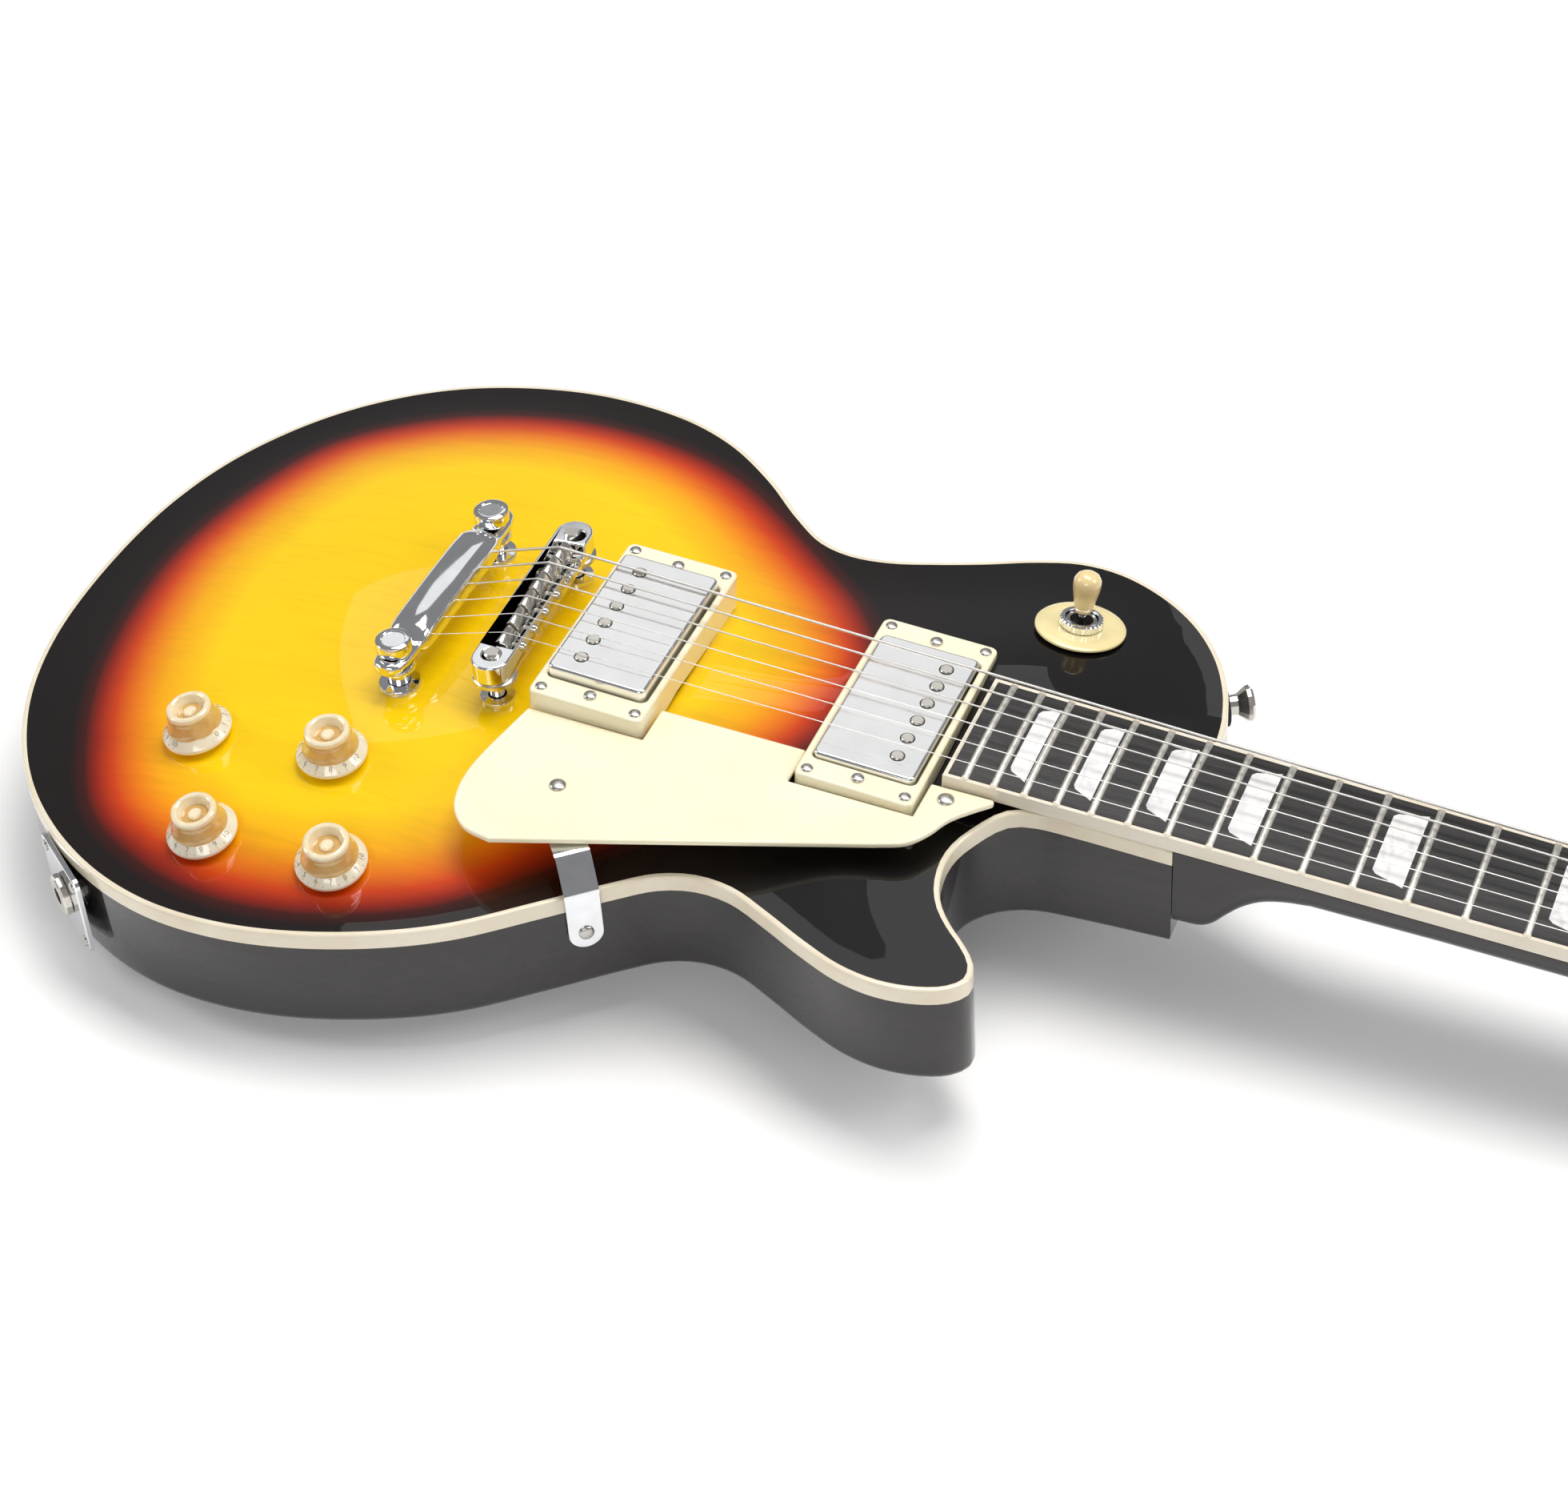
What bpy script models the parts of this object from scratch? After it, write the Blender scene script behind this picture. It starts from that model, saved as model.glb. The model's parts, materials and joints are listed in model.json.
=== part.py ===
"""Solid-body electric guitar with a carved top and one cutaway, built from its separate pieces.

Frame: the origin is on the flat back, on the centre line, straight below the saddle line.
+X runs to the headstock, +Y to the bass side, +Z out of the carved top.
Every size here is in millimetres and becomes metres where a mesh or a place is made.
"""
import math

import bmesh
import bpy
import numpy as np
from mathutils import Matrix, Vector

MM = 0.001
GAP = 0.3

# Body
RIM = 43.0
SEAM = 36.5
BACK_ROUND = 4.0
ARCH_RISE = 12.0
ARCH_FLAT = 10.0
ARCH_SPAN = 100.0
BINDING = 2.0
BODY_END = 252.0

# Neck, measured in its own tilted frame: s along the fretboard, from the saddle line
NECK_ANGLE = math.radians(4.95)
NECK_DATUM_Z = 65.9
SCALE = 630.0
NUT_HALF = 21.35
TWELFTH_HALF = 25.8
BOARD_END = 169.0
BOARD_EDGE = 5.6
BOARD_CROWN = 1.2
BOARD_BINDING = 1.5
TENON_HALF = 19.0
TENON_FLOOR = 18.0
NUT_THICK = 5.0

# Headstock, in its own frame: u along, v across, w out of the face
HEAD_ANGLE = math.radians(13.0)
HEAD_THICK = 14.0
HEAD_START = 636.0
TUNER_U = (44.0, 84.0, 124.0)
TUNER_V = (27.0, 29.0, 27.5)
TUNER_SHAFT_W = -19.5
TUNER_OFFSET = 6.5

# Bridge and tailpiece
BRIDGE_X = -0.7
BRIDGE_SLANT = math.radians(1.76)
POST_Y = 37.0
BRIDGE_LOW = 67.6
BRIDGE_TOP = 75.6
SADDLE_PEAK = 78.2
STRING_PITCH = 10.4
TAIL_X = -37.7
STUD_Y = 41.0
STUD_TOP = 76.6

# Pickups and pickguard
PICKUP_TILT = math.radians(5.2)
PICKUP_X = {"bridge": 39.9, "neck": 141.9}
RING_TOP = {"bridge": 68.4, "neck": 57.6}
COVER_TOP = {"bridge": 72.5, "neck": 59.4}
COVER_SIZE = (38.0, 70.0)
RING_SIZE = (44.4, 91.6)
RING_LIFT = {"bridge": 0.8, "neck": 1.7}
GUARD_TOP = 64.6
GUARD_SLOPE = math.radians(4.03)
GUARD_THICK = 2.3

# Controls
KNOB_PLACES = {"volume_neck": (-43.0, -84.5), "tone_neck": (-97.5, -86.5),
               "volume_bridge": (-21.0, -129.0), "tone_bridge": (-72.0, -130.0)}
KNOB_LIFT = 2.0
SWITCH_PLACE = (185.0, 75.0)
JACK_PLACE = (-121.0, -148.5)
JACK_OUT = (-0.62, -0.785)
JACK_Z = 21.5
STRAP_Z = 21.5

# The body's outline, from the bass side of the neck round the tail to the treble side of the neck
OUTLINE = [
    (252, 27), (249.5, 47), (244.5, 64.5), (236, 81.5), (223, 97.5), (206.5, 110), (188, 118),
    (171, 119.6), (154, 115.5), (136, 108.5), (118, 102.5), (101, 98), (86, 97.5), (73, 101.5),
    (58, 113.5), (38, 133), (14, 151), (-12, 162), (-48, 167), (-80, 163.5), (-110, 153.5),
    (-134, 138.5), (-157, 115.5), (-177, 82), (-188, 45), (-191.5, 0), (-188, -45), (-177, -82),
    (-157, -115.5), (-134, -138.5), (-106, -156), (-79, -165), (-52, -167), (-25, -163.5),
    (6, -153.5), (30, -141), (54, -122), (75.5, -104), (88, -95), (100.5, -91.5), (114, -93),
    (130, -100.5), (147, -109.5), (163, -116.5), (178, -119.3), (192, -118), (202, -114),
    (207, -108), (206, -100), (200, -92), (192.5, -84.5), (186.5, -77), (182.5, -69),
    (180.3, -60), (180, -51), (182, -43), (187, -36), (194, -31), (203, -28), (216, -27.2),
    (252, -26.8)]
OUTLINE_STEP = 13.0


# ---------------------------------------------------------------- geometry helpers
def smooth_path(points, step):
    """Points along a centripetal spline through the given ones, about step apart."""
    control = [np.array(p, dtype=float) for p in points]
    padded = [2 * control[0] - control[1]] + control + [2 * control[-1] - control[-2]]
    path = []
    for p0, p1, p2, p3 in zip(padded, padded[1:], padded[2:], padded[3:]):
        t1 = np.linalg.norm(p1 - p0) ** 0.5
        t2 = t1 + np.linalg.norm(p2 - p1) ** 0.5
        t3 = t2 + np.linalg.norm(p3 - p2) ** 0.5
        count = max(1, round(np.linalg.norm(p2 - p1) / step))
        for k in range(count):
            t = t1 + (t2 - t1) * k / count
            a1 = p0 + (p1 - p0) * t / t1
            a2 = p1 + (p2 - p1) * (t - t1) / (t2 - t1)
            a3 = p2 + (p3 - p2) * (t - t2) / (t3 - t2)
            b1 = a1 + (a2 - a1) * t / t2
            b2 = a2 + (a3 - a2) * (t - t1) / (t3 - t1)
            path.append(tuple(b1 + (b2 - b1) * (t - t1) / (t2 - t1)))
    path.append(tuple(control[-1]))
    return path


def inset(path, distance):
    """The closed path moved inward by a distance; it runs anticlockwise."""
    pts = np.array(path)
    before = np.roll(pts, 1, axis=0)
    after = np.roll(pts, -1, axis=0)
    first = (pts - before) / np.linalg.norm(pts - before, axis=1)[:, None]
    second = (after - pts) / np.linalg.norm(after - pts, axis=1)[:, None]
    left_first = np.column_stack([-first[:, 1], first[:, 0]])
    left_second = np.column_stack([-second[:, 1], second[:, 0]])
    bisector = left_first + left_second
    bisector /= np.linalg.norm(bisector, axis=1)[:, None]
    stretch = np.maximum(np.sum(bisector * left_first, axis=1), 0.5)
    moved = pts + bisector * (distance / stretch)[:, None]
    return [tuple(p) for p in moved]


def arc(cx, cy, radius, start_deg, end_deg, count):
    """Points on an arc, both ends included."""
    angles = [math.radians(start_deg + (end_deg - start_deg) * k / count) for k in range(count + 1)]
    return [(cx + radius * math.cos(a), cy + radius * math.sin(a)) for a in angles]


def rounded_rectangle(width, height, radius, per_corner=3):
    """An anticlockwise rectangle with round corners, centred on the origin."""
    half_w, half_h = width / 2 - radius, height / 2 - radius
    corners = [(half_w, half_h, 0), (-half_w, half_h, 90), (-half_w, -half_h, 180), (half_w, -half_h, 270)]
    return [p for cx, cy, a in corners for p in arc(cx, cy, radius, a, a + 90, per_corner)]


def divided(path, step):
    """The closed path with extra points on its long straight runs."""
    result = []
    for start, end in zip(path, path[1:] + path[:1]):
        length = math.dist(start, end)
        count = max(1, round(length / step))
        for k in range(count):
            result.append((start[0] + (end[0] - start[0]) * k / count,
                           start[1] + (end[1] - start[1]) * k / count))
    return result


BODY_PATH = smooth_path(OUTLINE, OUTLINE_STEP)
PATH_START = np.array(BODY_PATH)
PATH_STEP = np.roll(PATH_START, -1, axis=0) - PATH_START


def edge_distance(x, y):
    """Distance from a point to the body's outline."""
    offset = np.array([x, y]) - PATH_START
    share = np.clip(np.sum(offset * PATH_STEP, axis=1) / np.sum(PATH_STEP ** 2, axis=1), 0, 1)
    return float(np.min(np.linalg.norm(offset - share[:, None] * PATH_STEP, axis=1)))


def ramp(value, low, high):
    """A smooth step from 0 at low to 1 at high."""
    t = min(max((value - low) / (high - low), 0.0), 1.0)
    return t * t * (3 - 2 * t)


def board_floor(x):
    """Height of the fretboard's underside over the body's back."""
    return NECK_DATUM_Z - x * math.tan(NECK_ANGLE)


def rim_height(x, y):
    """Height of the top's edge, which climbs beside the neck to meet the fretboard."""
    beside = ramp(-abs(y), -50, -31) * ramp(x, 178, 198)
    return RIM + max(0.0, board_floor(x) - GAP - RIM) * beside


def top_height(x, y):
    """Height of the carved top: a flat rim, a recurve and a wide dome."""
    share = min(max((edge_distance(x, y) - ARCH_FLAT) / ARCH_SPAN, 0.0), 1.0)
    soft = (math.sqrt(share * share + 0.01) - 0.1) / (math.sqrt(1.01) - 0.1)
    return max(RIM + ARCH_RISE * math.sin(math.pi / 2 * soft), rim_height(x, y))


def top_frame(x, y):
    """A frame on the carved top whose +Z stands square to the surface."""
    delta = 4.0
    slope_x = (top_height(x + delta, y) - top_height(x - delta, y)) / (2 * delta)
    slope_y = (top_height(x, y + delta) - top_height(x, y - delta)) / (2 * delta)
    normal = Vector((-slope_x, -slope_y, 1)).normalized()
    turn = Vector((0, 0, 1)).rotation_difference(normal).to_matrix().to_4x4()
    return Matrix.Translation(Vector((x, y, top_height(x, y)))) @ turn


def side_frame(x, y, z, out_x, out_y):
    """A frame on the body's side whose +Z points out of it and whose +Y points up."""
    outward = Vector((out_x, out_y, 0)).normalized()
    across = Vector((0, 0, 1)).cross(outward)
    turn = Matrix((across, Vector((0, 0, 1)), outward)).transposed().to_4x4()
    return Matrix.Translation(Vector((x, y, z))) @ turn


NECK_FRAME = Matrix.Translation(Vector((0, 0, NECK_DATUM_Z))) @ Matrix.Rotation(NECK_ANGLE, 4, "Y")
HEAD_ROOT = Matrix.Translation(Vector((HEAD_START, 0, -GAP)))
HEAD_FRAME = NECK_FRAME @ HEAD_ROOT @ Matrix.Rotation(HEAD_ANGLE, 4, "Y")
BRIDGE_FRAME = Matrix.Translation(Vector((BRIDGE_X, 0, 0))) @ Matrix.Rotation(BRIDGE_SLANT, 4, "Z")


# ---------------------------------------------------------------- object helpers
def clear_scene():
    for item in list(bpy.data.objects):
        bpy.data.objects.remove(item, do_unlink=True)


def new_collection(name):
    group = bpy.data.collections.new(name)
    bpy.context.scene.collection.children.link(group)
    return group


clear_scene()
PARTS = new_collection("electric_guitar")
CUTTERS = new_collection("cutters")


def make_material(name, colour, roughness, metallic=0.0):
    mat = bpy.data.materials.new(name)
    mat.use_nodes = True
    shader = mat.node_tree.nodes["Principled BSDF"]
    shader.inputs["Base Color"].default_value = (*colour, 1.0)
    shader.inputs["Roughness"].default_value = roughness
    shader.inputs["Metallic"].default_value = metallic
    mat.diffuse_color = (*colour, 1.0)
    return mat


FINISHES = {
    "black_lacquer": ((0.02, 0.018, 0.018), 0.12, 0.0),
    "amber_lacquer": ((0.85, 0.42, 0.02), 0.12, 0.0),
    "ivory_plastic": ((0.83, 0.72, 0.50), 0.3, 0.0),
    "cream_plastic": ((0.88, 0.80, 0.52), 0.3, 0.0),
    "black_plastic": ((0.02, 0.02, 0.02), 0.4, 0.0),
    "dark_wood": ((0.05, 0.04, 0.035), 0.5, 0.0),
    "bone": ((0.87, 0.84, 0.74), 0.4, 0.0),
    "polished_chrome": ((0.83, 0.84, 0.86), 0.08, 1.0),
    "nickel": ((0.70, 0.68, 0.62), 0.2, 1.0),
    "zinc_steel": ((0.55, 0.55, 0.56), 0.35, 1.0),
    "gold_lacquer_knob": ((0.80, 0.62, 0.28), 0.15, 0.0),
}


def finish_object(obj, finish, sharp_deg=35.0):
    """Gives the object its own material and smooth shading with sharp edges kept."""
    if finish is None:
        CUTTERS.objects.link(obj)
        obj.hide_render = True
        obj.display_type = "WIRE"
        return obj
    PARTS.objects.link(obj)
    obj.data.materials.clear()
    obj.data.materials.append(make_material(obj.name + "_finish", *FINISHES[finish]))
    obj.data.shade_smooth()
    obj.data.set_sharp_from_angle(angle=math.radians(sharp_deg))
    return obj


def place(obj, frame):
    """Puts an object, built round its own origin, at a frame given in millimetres."""
    moved = frame.copy()
    moved.translation = frame.translation * MM
    obj.matrix_world = moved
    return obj


def mesh_object(name, bm, finish=None, frame=Matrix.Identity(4)):
    """An object from a bmesh in millimetres."""
    bmesh.ops.recalc_face_normals(bm, faces=bm.faces)
    bmesh.ops.scale(bm, vec=Vector((MM, MM, MM)), verts=bm.verts)
    mesh = bpy.data.meshes.new(name)
    bm.to_mesh(mesh)
    bm.free()
    return finish_object(place(bpy.data.objects.new(name, mesh), frame), finish)


def plate_bmesh(loops, low, high, bevel=0.0, segments=2, bevel_low=False):
    """A flat plate with the given outline and holes, as a bmesh in millimetres."""
    curve = bpy.data.curves.new("outline", "CURVE")
    curve.dimensions = "2D"
    curve.fill_mode = "BOTH"
    curve.extrude = (high - low) / 2
    curve.render_resolution_u = 0
    for loop in loops:
        spline = curve.splines.new("POLY")
        spline.points.add(len(loop) - 1)
        for point, (x, y) in zip(spline.points, loop):
            point.co = (x, y, 0, 1)
        spline.use_cyclic_u = True
    holder = bpy.data.objects.new("outline", curve)
    holder.location.z = (low + high) / 2
    bpy.context.scene.collection.objects.link(holder)
    bpy.context.view_layer.update()
    mesh = bpy.data.meshes.new_from_object(holder.evaluated_get(bpy.context.evaluated_depsgraph_get()))
    mesh.transform(holder.matrix_world)
    bm = bmesh.new()
    bm.from_mesh(mesh)
    bpy.data.objects.remove(holder, do_unlink=True)
    bpy.data.meshes.remove(mesh)
    bmesh.ops.remove_doubles(bm, verts=bm.verts, dist=0.001)
    if bevel:
        bmesh.ops.dissolve_limit(bm, angle_limit=0.01, verts=bm.verts, edges=bm.edges)
        level = low if bevel_low else high
        rim = [e for e in bm.edges if all(abs(v.co.z - level) < 0.01 for v in e.verts)
               and e.calc_face_angle(0.0) > 0.5]
        bmesh.ops.bevel(bm, geom=rim, offset=bevel, segments=segments, profile=0.5, affect="EDGES")
    return bm


def plate(name, loops, low, high, finish=None, frame=Matrix.Identity(4), bevel=0.0):
    return mesh_object(name, plate_bmesh(loops, low, high, bevel), finish, frame)


def box(name, low, high, finish=None, frame=Matrix.Identity(4), bevel=0.0):
    """A box between two corners, with an optional bevel on every edge."""
    bm = bmesh.new()
    bmesh.ops.create_cube(bm, size=1.0)
    bmesh.ops.scale(bm, vec=Vector(high) - Vector(low), verts=bm.verts)
    bmesh.ops.translate(bm, vec=(Vector(high) + Vector(low)) / 2, verts=bm.verts)
    if bevel:
        bmesh.ops.bevel(bm, geom=bm.edges[:], offset=bevel, segments=2, profile=0.5, affect="EDGES")
    return mesh_object(name, bm, finish, frame)


def cylinder(name, radius, low, high, frame=Matrix.Identity(4), segments=20, finish=None):
    """A cylinder along its frame's +Z."""
    bm = bmesh.new()
    bmesh.ops.create_cone(bm, cap_ends=True, segments=segments, radius1=radius, radius2=radius,
                          depth=high - low)
    bmesh.ops.translate(bm, vec=(0, 0, (low + high) / 2), verts=bm.verts)
    return mesh_object(name, bm, finish, frame)


def turned(name, profile, frame, finish, steps=20):
    """A turned piece: its profile runs down the outer side, from the axis to the axis."""
    mesh = bpy.data.meshes.new(name)
    edges = [(k, k + 1) for k in range(len(profile) - 1)]
    mesh.from_pydata([(r * MM, 0, z * MM) for r, z in profile], edges, [])
    obj = finish_object(place(bpy.data.objects.new(name, mesh), frame), finish)
    screw = obj.modifiers.new("turn", "SCREW")
    screw.steps = steps
    screw.render_steps = steps
    screw.use_merge_vertices = True
    screw.merge_threshold = 0.00001
    screw.use_smooth_shade = True
    return obj


def loft(sections):
    """A closed skin through rings of points that all have the same count, as a bmesh."""
    bm = bmesh.new()
    rings = [[bm.verts.new(p) for p in section] for section in sections]
    for ring, following in zip(rings, rings[1:]):
        count = len(ring)
        for k in range(count):
            bm.faces.new((ring[k], ring[(k + 1) % count], following[(k + 1) % count], following[k]))
    bm.faces.new(rings[0])
    bm.faces.new(rings[-1])
    return bm


def combine(target, other, operation):
    step = target.modifiers.new(other.name, "BOOLEAN")
    step.operation = operation
    step.solver = "EXACT"
    step.object = other
    return target


def cut(target, *cutters):
    for cutter in cutters:
        combine(target, cutter, "DIFFERENCE")
    return target


def joint_empty(name, frame):
    """An empty on a joint's axis, for the pieces that move together."""
    empty = bpy.data.objects.new(name, None)
    empty.empty_display_size = 10 * MM
    PARTS.objects.link(empty)
    return place(empty, frame)


def hold(empty, *children):
    """Parents pieces to an empty without moving them."""
    bpy.context.view_layer.update()
    for child in children:
        child.parent = empty
        child.matrix_parent_inverse = empty.matrix_world.inverted()


# ---------------------------------------------------------------- body
CONTROL_CAVITY = [(-4, -70), (-4, -140), (-16, -145), (-84, -147), (-108, -132), (-114, -122), (-114, -76),
                  (-106, -68), (-14, -62)]


def lining(path, distance):
    """An outline pushed outward by a distance, for a cover's ledge; the path runs either way round."""
    area = sum(a[0] * b[1] - b[0] * a[1] for a, b in zip(path, path[1:] + path[:1]))
    ordered = path if area > 0 else path[::-1]
    return inset(ordered, -distance)


def circle(cx, cy, radius, count=24):
    return arc(cx, cy, radius, 0, 360 - 360 / count, count - 1)


def mortise_cutter(name, start, floor):
    """The block that opens the neck's pocket in the body, the top and the binding."""
    return box(name, (start, -TENON_HALF - GAP, floor), (BODY_END + 8, TENON_HALF + GAP, 70))


def make_body():
    slab = plate_bmesh([BODY_PATH], 0, SEAM - GAP, BACK_ROUND, 3, bevel_low=True)
    body = mesh_object("body", slab, "black_lacquer")
    sx, sy = SWITCH_PLACE
    mortise = mortise_cutter("mortise_cutter", BOARD_END + 1, TENON_FLOOR)
    cavity = plate("control_cavity_cutter", [CONTROL_CAVITY], -1, SEAM + 1)
    ledge = plate("control_ledge_cutter", [lining(CONTROL_CAVITY, 6)], -1, 2.5)
    switch_cavity = plate("switch_cavity_cutter", [circle(sx, sy, 20)], -1, SEAM + 1)
    switch_ledge = plate("switch_ledge_cutter", [circle(sx, sy, 26)], -1, 2.5)
    jack_bore = cylinder("jack_bore_cutter", 11, -40, 5, side_frame(*JACK_PLACE, JACK_Z, *JACK_OUT))
    cut(body, mortise, cavity, ledge, switch_cavity, switch_ledge, jack_bore)
    for where in ("bridge", "neck"):
        x = PICKUP_X[where]
        cut(body, box(f"pickup_cavity_{where}_cutter", (x - 19, -43, 19), (x + 19, 43, SEAM + 1)))
    start, end = Vector((sx, sy, 0)), Vector((-20, -76, 0))
    heading = math.atan2(end.y - start.y, end.x - start.x)
    channel_frame = Matrix.Translation((start + end) / 2) @ Matrix.Rotation(heading, 4, "Z")
    half = (end - start).length / 2
    cut(body, box("wire_channel_cutter", (-half, -5, 25), (half, 5, SEAM + 1), frame=channel_frame))
    cut(body, *STUD_BORES)
    return body


def make_stud_bores():
    """Bores under the bridge posts and the tailpiece studs, shared by the body and its top."""
    bores = []
    for side, sign in (("bass", 1), ("treble", -1)):
        post = BRIDGE_FRAME @ Matrix.Translation(Vector((0, sign * POST_Y, 0)))
        bores.append(cylinder(f"post_bore_{side}_cutter", 3.4, 30, 90, post, 12))
        stud = Matrix.Translation(Vector((TAIL_X, sign * STUD_Y, 0)))
        bores.append(cylinder(f"stud_bore_{side}_cutter", 4.3, 24, 90, stud, 12))
    return bores


def make_top_cap():
    spacing = 13.0
    columns, rows = 35, 27
    bm = bmesh.new()
    bmesh.ops.create_grid(bm, x_segments=columns, y_segments=rows, size=0.5)
    middle_x = 30.0
    for v in bm.verts:
        x = middle_x + v.co.x * columns * spacing
        y = v.co.y * rows * spacing
        v.co = (x, y, top_height(x, y))
    bmesh.ops.triangulate(bm, faces=bm.faces[:])
    border = [e for e in bm.edges if e.is_boundary]
    skirt = bmesh.ops.extrude_edge_only(bm, edges=border)["geom"]
    for v in skirt:
        if isinstance(v, bmesh.types.BMVert):
            v.co.z = SEAM
    rim_edges = [e for e in skirt if isinstance(e, bmesh.types.BMEdge) and e.is_boundary]
    bmesh.ops.edgeloop_fill(bm, edges=rim_edges)
    cap = mesh_object("top_cap", bm, "amber_lacquer")
    combine(cap, plate("cap_outline_cutter", [inset(BODY_PATH, BINDING + GAP)], SEAM - 10, 80), "INTERSECT")
    cut(cap, mortise_cutter("cap_mortise_cutter", BOARD_END + 1, TENON_FLOOR))
    plane_low = (BOARD_END - 0.5, -neck_half(BOARD_END) - GAP, -0.5)
    plane_high = (BODY_END + 8, neck_half(BOARD_END) + GAP, 20)
    cut(cap, box("neck_plane_cutter", plane_low, plane_high, frame=NECK_FRAME))
    for where in ("bridge", "neck"):
        x = PICKUP_X[where]
        cut(cap, box(f"cap_pickup_{where}_cutter", (x - 21.4, -36, 20), (x + 20, 36, 80)))
    cut(cap, *STUD_BORES)
    for name, spot in KNOB_PLACES.items():
        cut(cap, cylinder(f"{name}_bore_cutter", 4.9, -40, 10, top_frame(*spot), 14))
    cut(cap, cylinder("switch_bore_cutter", 6.2, -40, 10, top_frame(*SWITCH_PLACE), 16))
    return cap


def make_body_binding():
    """Edge binding: a strip round the top's edge, whose upper side follows the rim."""
    bm = plate_bmesh([BODY_PATH, inset(BODY_PATH, BINDING)], SEAM, RIM)
    for v in bm.verts:
        if v.co.z > SEAM + 1:
            v.co.z = rim_height(v.co.x, v.co.y)
    binding = mesh_object("body_binding", bm, "ivory_plastic")
    cut(binding, mortise_cutter("binding_mortise_cutter", BODY_END - 12, TENON_FLOOR))
    return binding


# ---------------------------------------------------------------- neck
def neck_half(s):
    """Half the width of the neck at a distance s from the saddle line."""
    return NUT_HALF + (SCALE - s) / (SCALE / 2) * (TWELFTH_HALF - NUT_HALF)


def neck_section(x, top, depth, power):
    """An upright neck section at a world x: flat on top and a super-ellipse below."""
    half = neck_half(x / math.cos(NECK_ANGLE))
    ring = []
    for k in range(11):
        angle = math.pi * k / 10
        across, down = math.cos(angle), math.sin(angle)
        y = half * math.copysign(abs(across) ** (2 / power), across)
        z = top - depth * down ** (2 / power)
        ring.append(((x - z * math.sin(NECK_ANGLE)) / math.cos(NECK_ANGLE), y, z))
    return ring


# Neck stations past the body: world x, top over the fretboard's plane, depth, roundness power
NECK_STATIONS = [(252.3, -GAP, 35.9, 9), (262, -GAP, 34.8, 9), (266, -GAP, 32.6, 8), (271, -GAP, 27.6, 6),
                 (276, -GAP, 23.4, 4.5), (282, -GAP, 20.4, 3.4), (290, -GAP, 18.4, 2.8), (300, -GAP, 17.6, 2.4),
                 (345, -GAP, 17.0, 2.3), (440, -GAP, 16.3, 2.3), (560, -GAP, 15.6, 2.3), (626, -GAP, 15.2, 2.4),
                 (633, -GAP, 15.0, 2.6), (647, -4.2, 12.0, 3.0)]
HEAD_OUTLINE_HALF = [(0, 21.4), (8, 21.8), (17, 25), (25, 31.5), (33, 38), (42, 41.5), (60, 41.2), (100, 40.6),
                     (140, 40), (158, 38.6), (166, 34), (171, 22), (173, 8)]


def head_holes():
    """Where the tuner posts pass the headstock: name, u, v."""
    places = []
    for k, (u, v) in enumerate(zip(TUNER_U, TUNER_V)):
        places.append((f"bass_{k + 1}", u, v))
        places.append((f"treble_{k + 1}", u, -v))
    return places


def make_neck():
    sections = [neck_section(*station) for station in NECK_STATIONS]
    neck = mesh_object("neck", loft(sections), "black_lacquer", NECK_FRAME)
    tenon_x = (BOARD_END + 1.5, BODY_END + 3)
    tenon = []
    for x in tenon_x:
        top = board_floor(x) - GAP
        tenon.append([(x, -TENON_HALF, TENON_FLOOR + GAP), (x, TENON_HALF, TENON_FLOOR + GAP),
                      (x, TENON_HALF, top), (x, -TENON_HALF, top)])
    combine(neck, mesh_object("tenon_block", loft(tenon)), "UNION")
    half_side = smooth_path(HEAD_OUTLINE_HALF, 12)
    outline = [(u, -v) for u, v in half_side] + [(u, v) for u, v in reversed(half_side)]
    combine(neck, plate("headstock_block", [outline], -HEAD_THICK, 0, frame=HEAD_FRAME, bevel=1.0), "UNION")
    channel = box("truss_channel_cutter", (262, -3.2, -10.2), (HEAD_START + 10, 3.2, 2), frame=NECK_FRAME)
    pocket = box("truss_pocket_cutter", (2, -7, -9.5), (26, 7, 2), frame=HEAD_FRAME)
    cut(neck, channel, pocket)
    for name, u, v in head_holes():
        hole = HEAD_FRAME @ Matrix.Translation(Vector((u, v, 0)))
        cut(neck, cylinder(f"tuner_hole_{name}_cutter", 3.4, -30, 10, hole, 10))
    return neck


def board_section(s, half):
    """A fretboard section with its crowned playing face."""
    top = [(s, half * t, BOARD_EDGE + BOARD_CROWN * (1 - t * t)) for t in (1, 0.67, 0.33, 0, -0.33, -0.67, -1)]
    return [(s, -half, 0), (s, half, 0)] + top


def make_fretboard():
    ends = (BOARD_END + BOARD_BINDING + GAP, SCALE)
    board = loft([board_section(s, neck_half(s) - BOARD_BINDING - GAP) for s in ends])
    mesh_object("fretboard", board, "dark_wood", NECK_FRAME)
    outer = [(SCALE, -neck_half(SCALE)), (SCALE, neck_half(SCALE)), (BOARD_END, neck_half(BOARD_END)),
             (BOARD_END, -neck_half(BOARD_END))]
    inner_end = BOARD_END + BOARD_BINDING
    inner = [(inner_end, -neck_half(inner_end) + BOARD_BINDING), (inner_end, neck_half(inner_end) - BOARD_BINDING),
             (SCALE, neck_half(SCALE) - BOARD_BINDING), (SCALE, -neck_half(SCALE) + BOARD_BINDING)]
    strip = [outer[1], outer[2], outer[3], outer[0], inner[3], inner[0], inner[1], inner[2]]
    plate("fretboard_binding", [strip], 0, BOARD_EDGE, "ivory_plastic", NECK_FRAME)
    nut_low = (SCALE + GAP, -NUT_HALF, 0)
    nut_high = (SCALE + NUT_THICK, NUT_HALF, 8.4)
    box("nut", nut_low, nut_high, "bone", NECK_FRAME, 0.6)


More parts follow.
